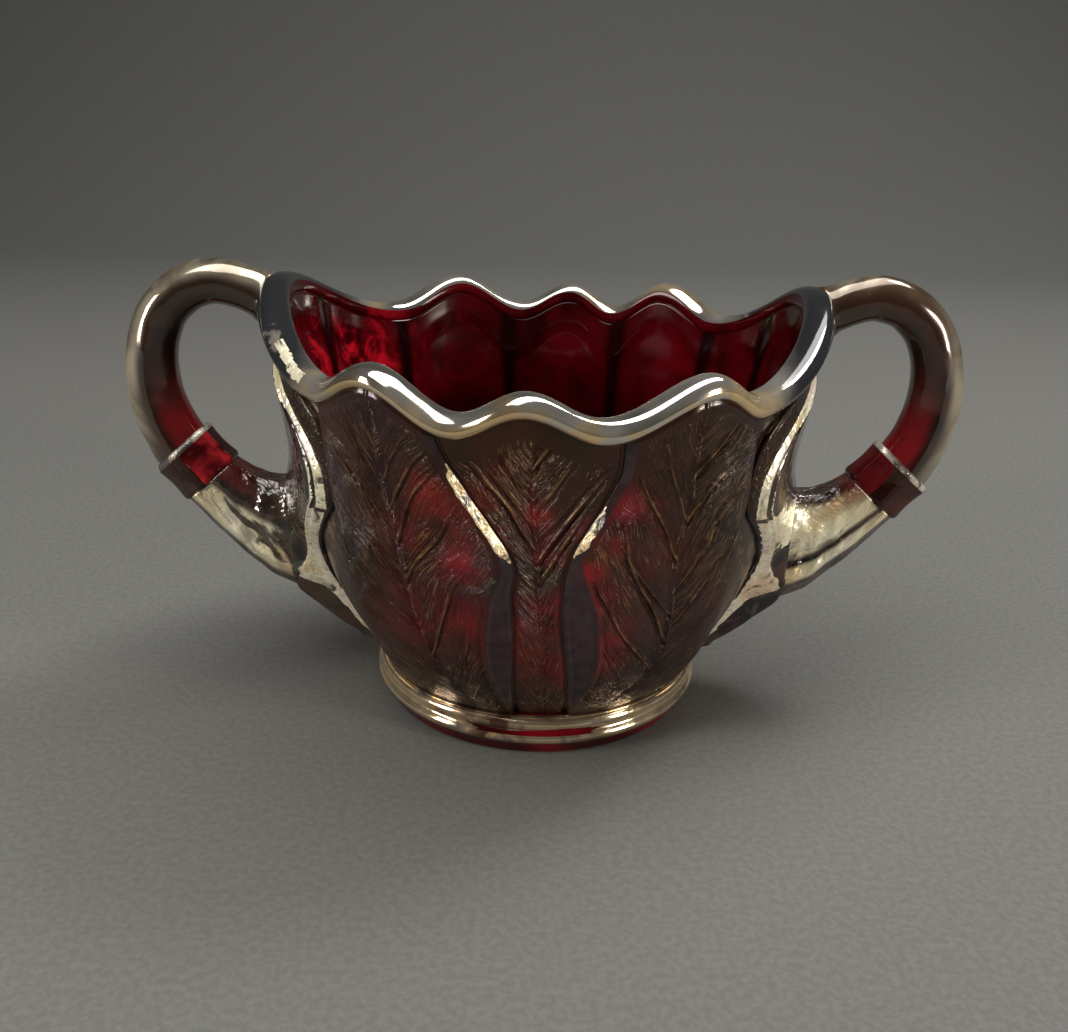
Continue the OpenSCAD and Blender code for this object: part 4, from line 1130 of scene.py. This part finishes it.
def cuff_piece(node, left):
    m = 240
    th = np.linspace(0, 2 * np.pi, m, endpoint=False)
    cw = 6.15
    corner = np.array([(-cw, -2.6), (0, -cw * 0.99), (cw, -2.6), (cw, 2.6), (0, cw * 0.99), (-cw, 2.6)])
    d = np.stack([np.cos(th), np.sin(th)], -1)
    r = np.full(m, 1e9)
    soft = 0
    for i in range(6):
        p, q = corner[i], corner[(i + 1) % 6]
        n = np.array([q[1] - p[1], p[0] - q[0]])
        n = n / np.hypot(*n)
        if n @ p < 0:
            n = -n
        soft = soft + np.maximum(d @ n / (n @ p), 0) ** 13
    r = 1.016 / soft ** (1 / 13)
    base = d * r[:, None]
    L = 8.6
    # along the band: rounded lips, a slight waist, and closed ends
    prof = [(0.0, 0.30), (0.0, 0.70), (0.02, 0.86), (0.12, 0.925), (0.32, 0.965), (0.58, 0.99), (0.90, 1.005), (1.2, 1.005)]
    prof += [(1.35 + (L - 2.7) * t, 1.0 - 0.035 * math.sin(math.pi * t)) for t in np.linspace(0, 1, 24)]
    prof += [(L - q, w) for q, w in reversed(prof[:8])]
    rings = []
    for s, w in prof:
        c = CUFF_C + CUFF_D * s
        loc = base * w
        rings.append(np.stack([c[0] + CUFF_N[0] * loc[:, 0], loc[:, 1], c[1] + CUFF_N[1] * loc[:, 0]], -1))
    v, faces = tube(turn(np.array(rings), left))
    # painted highlight: bright film on the two lips, where they catch the light
    fm = np.zeros(len(faces), int)
    nr = len(prof) - 1
    side = base[:, 0]
    inner = ((side < -0.4) & (np.abs(base[:, 1]) > 1.5)).astype(int) * 1 if left else (side < -2.2).astype(int) * 1
    for i in range(nr):
        fm[i * m:(i + 1) * m] = inner
    for i in range(2, 7):
        fm[i * m:(i + 1) * m] = 2
    new_piece("v_" + node, v, faces, [M_CUFF, M_CUFF_RED[int(left)], M_CUFF_LIP], [node], face_mat=fm)


cuff_piece("cuff_right", False)
cuff_piece("cuff_left", True)

TOP_L = [(57, 43), (54.2, 41.2), (51.4, 40), (48.8, 39.8), (46.5, 40.6)]
BOT_L = [(65.4, 35.5), (60.6, 30), (55.8, 25.2), (51, 21), (46.5, 18.9)]
DEEP = [5.5, 5.2, 5.3, 5.7, 6.1]
SEC_A = [(0, .40), (.05, .56), (.12, .75), (.30, 1.0), (.42, .94), (.55, .87), (.62, .83), (.68, .88), (.73, .93),
         (.78, .90), (.86, .70), (.94, .52), (1, .40)]
SEC = np.array(SEC_A + [(p, -q) for p, q in reversed(SEC_A)])


def stem_piece(node, left):
    n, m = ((120, 160))
    e = CUFF_C + CUFF_D * 8.6
    t0, b0 = e - CUFF_N * 5.6, e + CUFF_N * 5.6
    T = np.array([t0] + TOP_L[1:])
    B = np.array([b0] + BOT_L[1:])
    x = np.arange(5.0)
    u = np.linspace(0, 4, n + 1)
    Tt = np.stack([pchip(u, x, T[:, 0]), np.interp(u, x, T[:, 1]) * 0.35 + pchip(u, x, T[:, 1]) * 0.65], -1)
    Bb = np.stack([pchip(u, x, B[:, 0]), pchip(u, x, B[:, 1])], -1)
    dp = pchip(u, x, DEEP)
    # sharp ridges with slightly hollow faces
    k = len(SEC)
    full = np.concatenate([SEC, SEC[:1]])
    cum = np.concatenate([[0], np.cumsum(np.linalg.norm(np.diff(full * np.array([3, 1.2]), axis=0), axis=1))])
    s = np.linspace(0, cum[-1], m, endpoint=False)
    c = np.stack([np.interp(s, cum, full[:, 0]), np.interp(s, cum, full[:, 1])], -1)
    c = 0.5 * c + 0.25 * (np.roll(c, 1, 0) + np.roll(c, -1, 0))
    rings = []
    for i in range(n + 1):
        p = Tt[i] + (Bb[i] - Tt[i]) * c[:, :1]
        # hammered unevenness that fades towards both ends
        far = math.sqrt(max(math.sin(math.pi * u[i] / 4), 0))
        w = far * wobble(c[:, 0] * 7, c[:, 1] * 3 + u[i] * 4.5, 51 + left, scale=1.0)
        w2 = far * wobble(c[:, 0] * 4, c[:, 1] * 2 + u[i] * 3.0, 53 + left, scale=1.0)
        shift = (Bb[i] - Tt[i]) / np.hypot(*(Bb[i] - Tt[i]))
        p = p + shift * 0.22 * w2[:, None]
        rings.append(np.stack([p[:, 0], -c[:, 1] * dp[i] * (1 + w * 0.075), p[:, 1]], -1))
    # run on a little way into the leaf behind it and into the cuff
    rings.append(rings[-1] - np.array([0.8, 0, 0]))
    rings.insert(0, rings[0] - np.array([CUFF_D[0], 0, CUFF_D[1]]) * 0.3)
    v, faces = tube(turn(np.array(rings), bool(left)))
    band = np.append(np.tile(c[:, 0], len(rings)), [0.5, 0.5])
    new_piece("v_" + node, v, faces, [M_STEM[left]], [node], attrs={"m": band})


stem_piece("stem_right", 0)
stem_piece("stem_left", 1)


# ------------------------------------------------------- floor and lighting
def sweep():
    """Plain pale paper that runs back and curves up behind."""
    pts = [(-1.6, 0.0), (0.55, 0.0)]
    pts += [(0.55 + 0.5 * math.sin(t), 0.5 - 0.5 * math.cos(t)) for t in np.linspace(0, math.pi / 2, 25)[1:]]
    pts += [(1.05, 2.0)]
    xs = (-1.8, 1.8)
    v = [(x, y, z) for (y, z) in pts for x in xs]
    f = [(2 * i, 2 * i + 1, 2 * i + 3, 2 * i + 2) for i in range(len(pts) - 1)]
    me = bpy.data.meshes.new("paper")
    me.from_pydata(v, [], f)
    me.polygons.foreach_set("use_smooth", np.ones(len(f), bool))
    m = Nodes("pale_paper")
    g = m.noise(900, 3, 0.6)
    m.set(color=m.mix(m.range(g, 0.35, 0.65), (0.132, 0.132, 0.124), (0.156, 0.156, 0.146)), rough=0.9, ior=1.3)
    me.materials.append(m.mat)
    ob = bpy.data.objects.new("paper", me)
    bpy.context.scene.collection.objects.link(ob)


sweep()


def area(name, loc, target, size, power, colour=(1, 1, 1)):
    li = bpy.data.lights.new(name, "AREA")
    li.shape = "RECTANGLE"
    li.size, li.size_y = size
    li.energy = power
    li.color = colour
    ob = bpy.data.objects.new(name, li)
    ob.location = loc
    d = Vector(target) - Vector(loc)
    ob.rotation_euler = d.to_track_quat("-Z", "Y").to_euler()
    bpy.context.scene.collection.objects.link(ob)
    return ob


area("strip", (0.02, -0.02, 0.76), (0, 0, 0.04), (1.3, 0.42), 7.2, (1.0, 0.99, 0.97))
area("key", (0.38, 0.20, 0.62), (0, 0, 0.04), (0.16, 0.16), 1.7, (1.0, 0.985, 0.96))
area("left", (-0.60, -0.30, 0.20), (0, 0, 0.04), (0.12, 0.30), 2.6, (1.0, 0.94, 0.86))
area("right", (0.60, -0.36, 0.20), (0, 0, 0.04), (0.12, 0.30), 3.0, (1.0, 0.94, 0.86))

world = bpy.data.worlds.new("studio")
bpy.context.scene.world = world
world.use_nodes = True
world.node_tree.nodes["Background"].inputs[0].default_value = (0.9, 0.93, 1.0, 1)
world.node_tree.nodes["Background"].inputs[1].default_value = 0.035

bpy.context.scene.view_settings.view_transform = "Standard"
bpy.context.scene.cycles.use_denoising = True
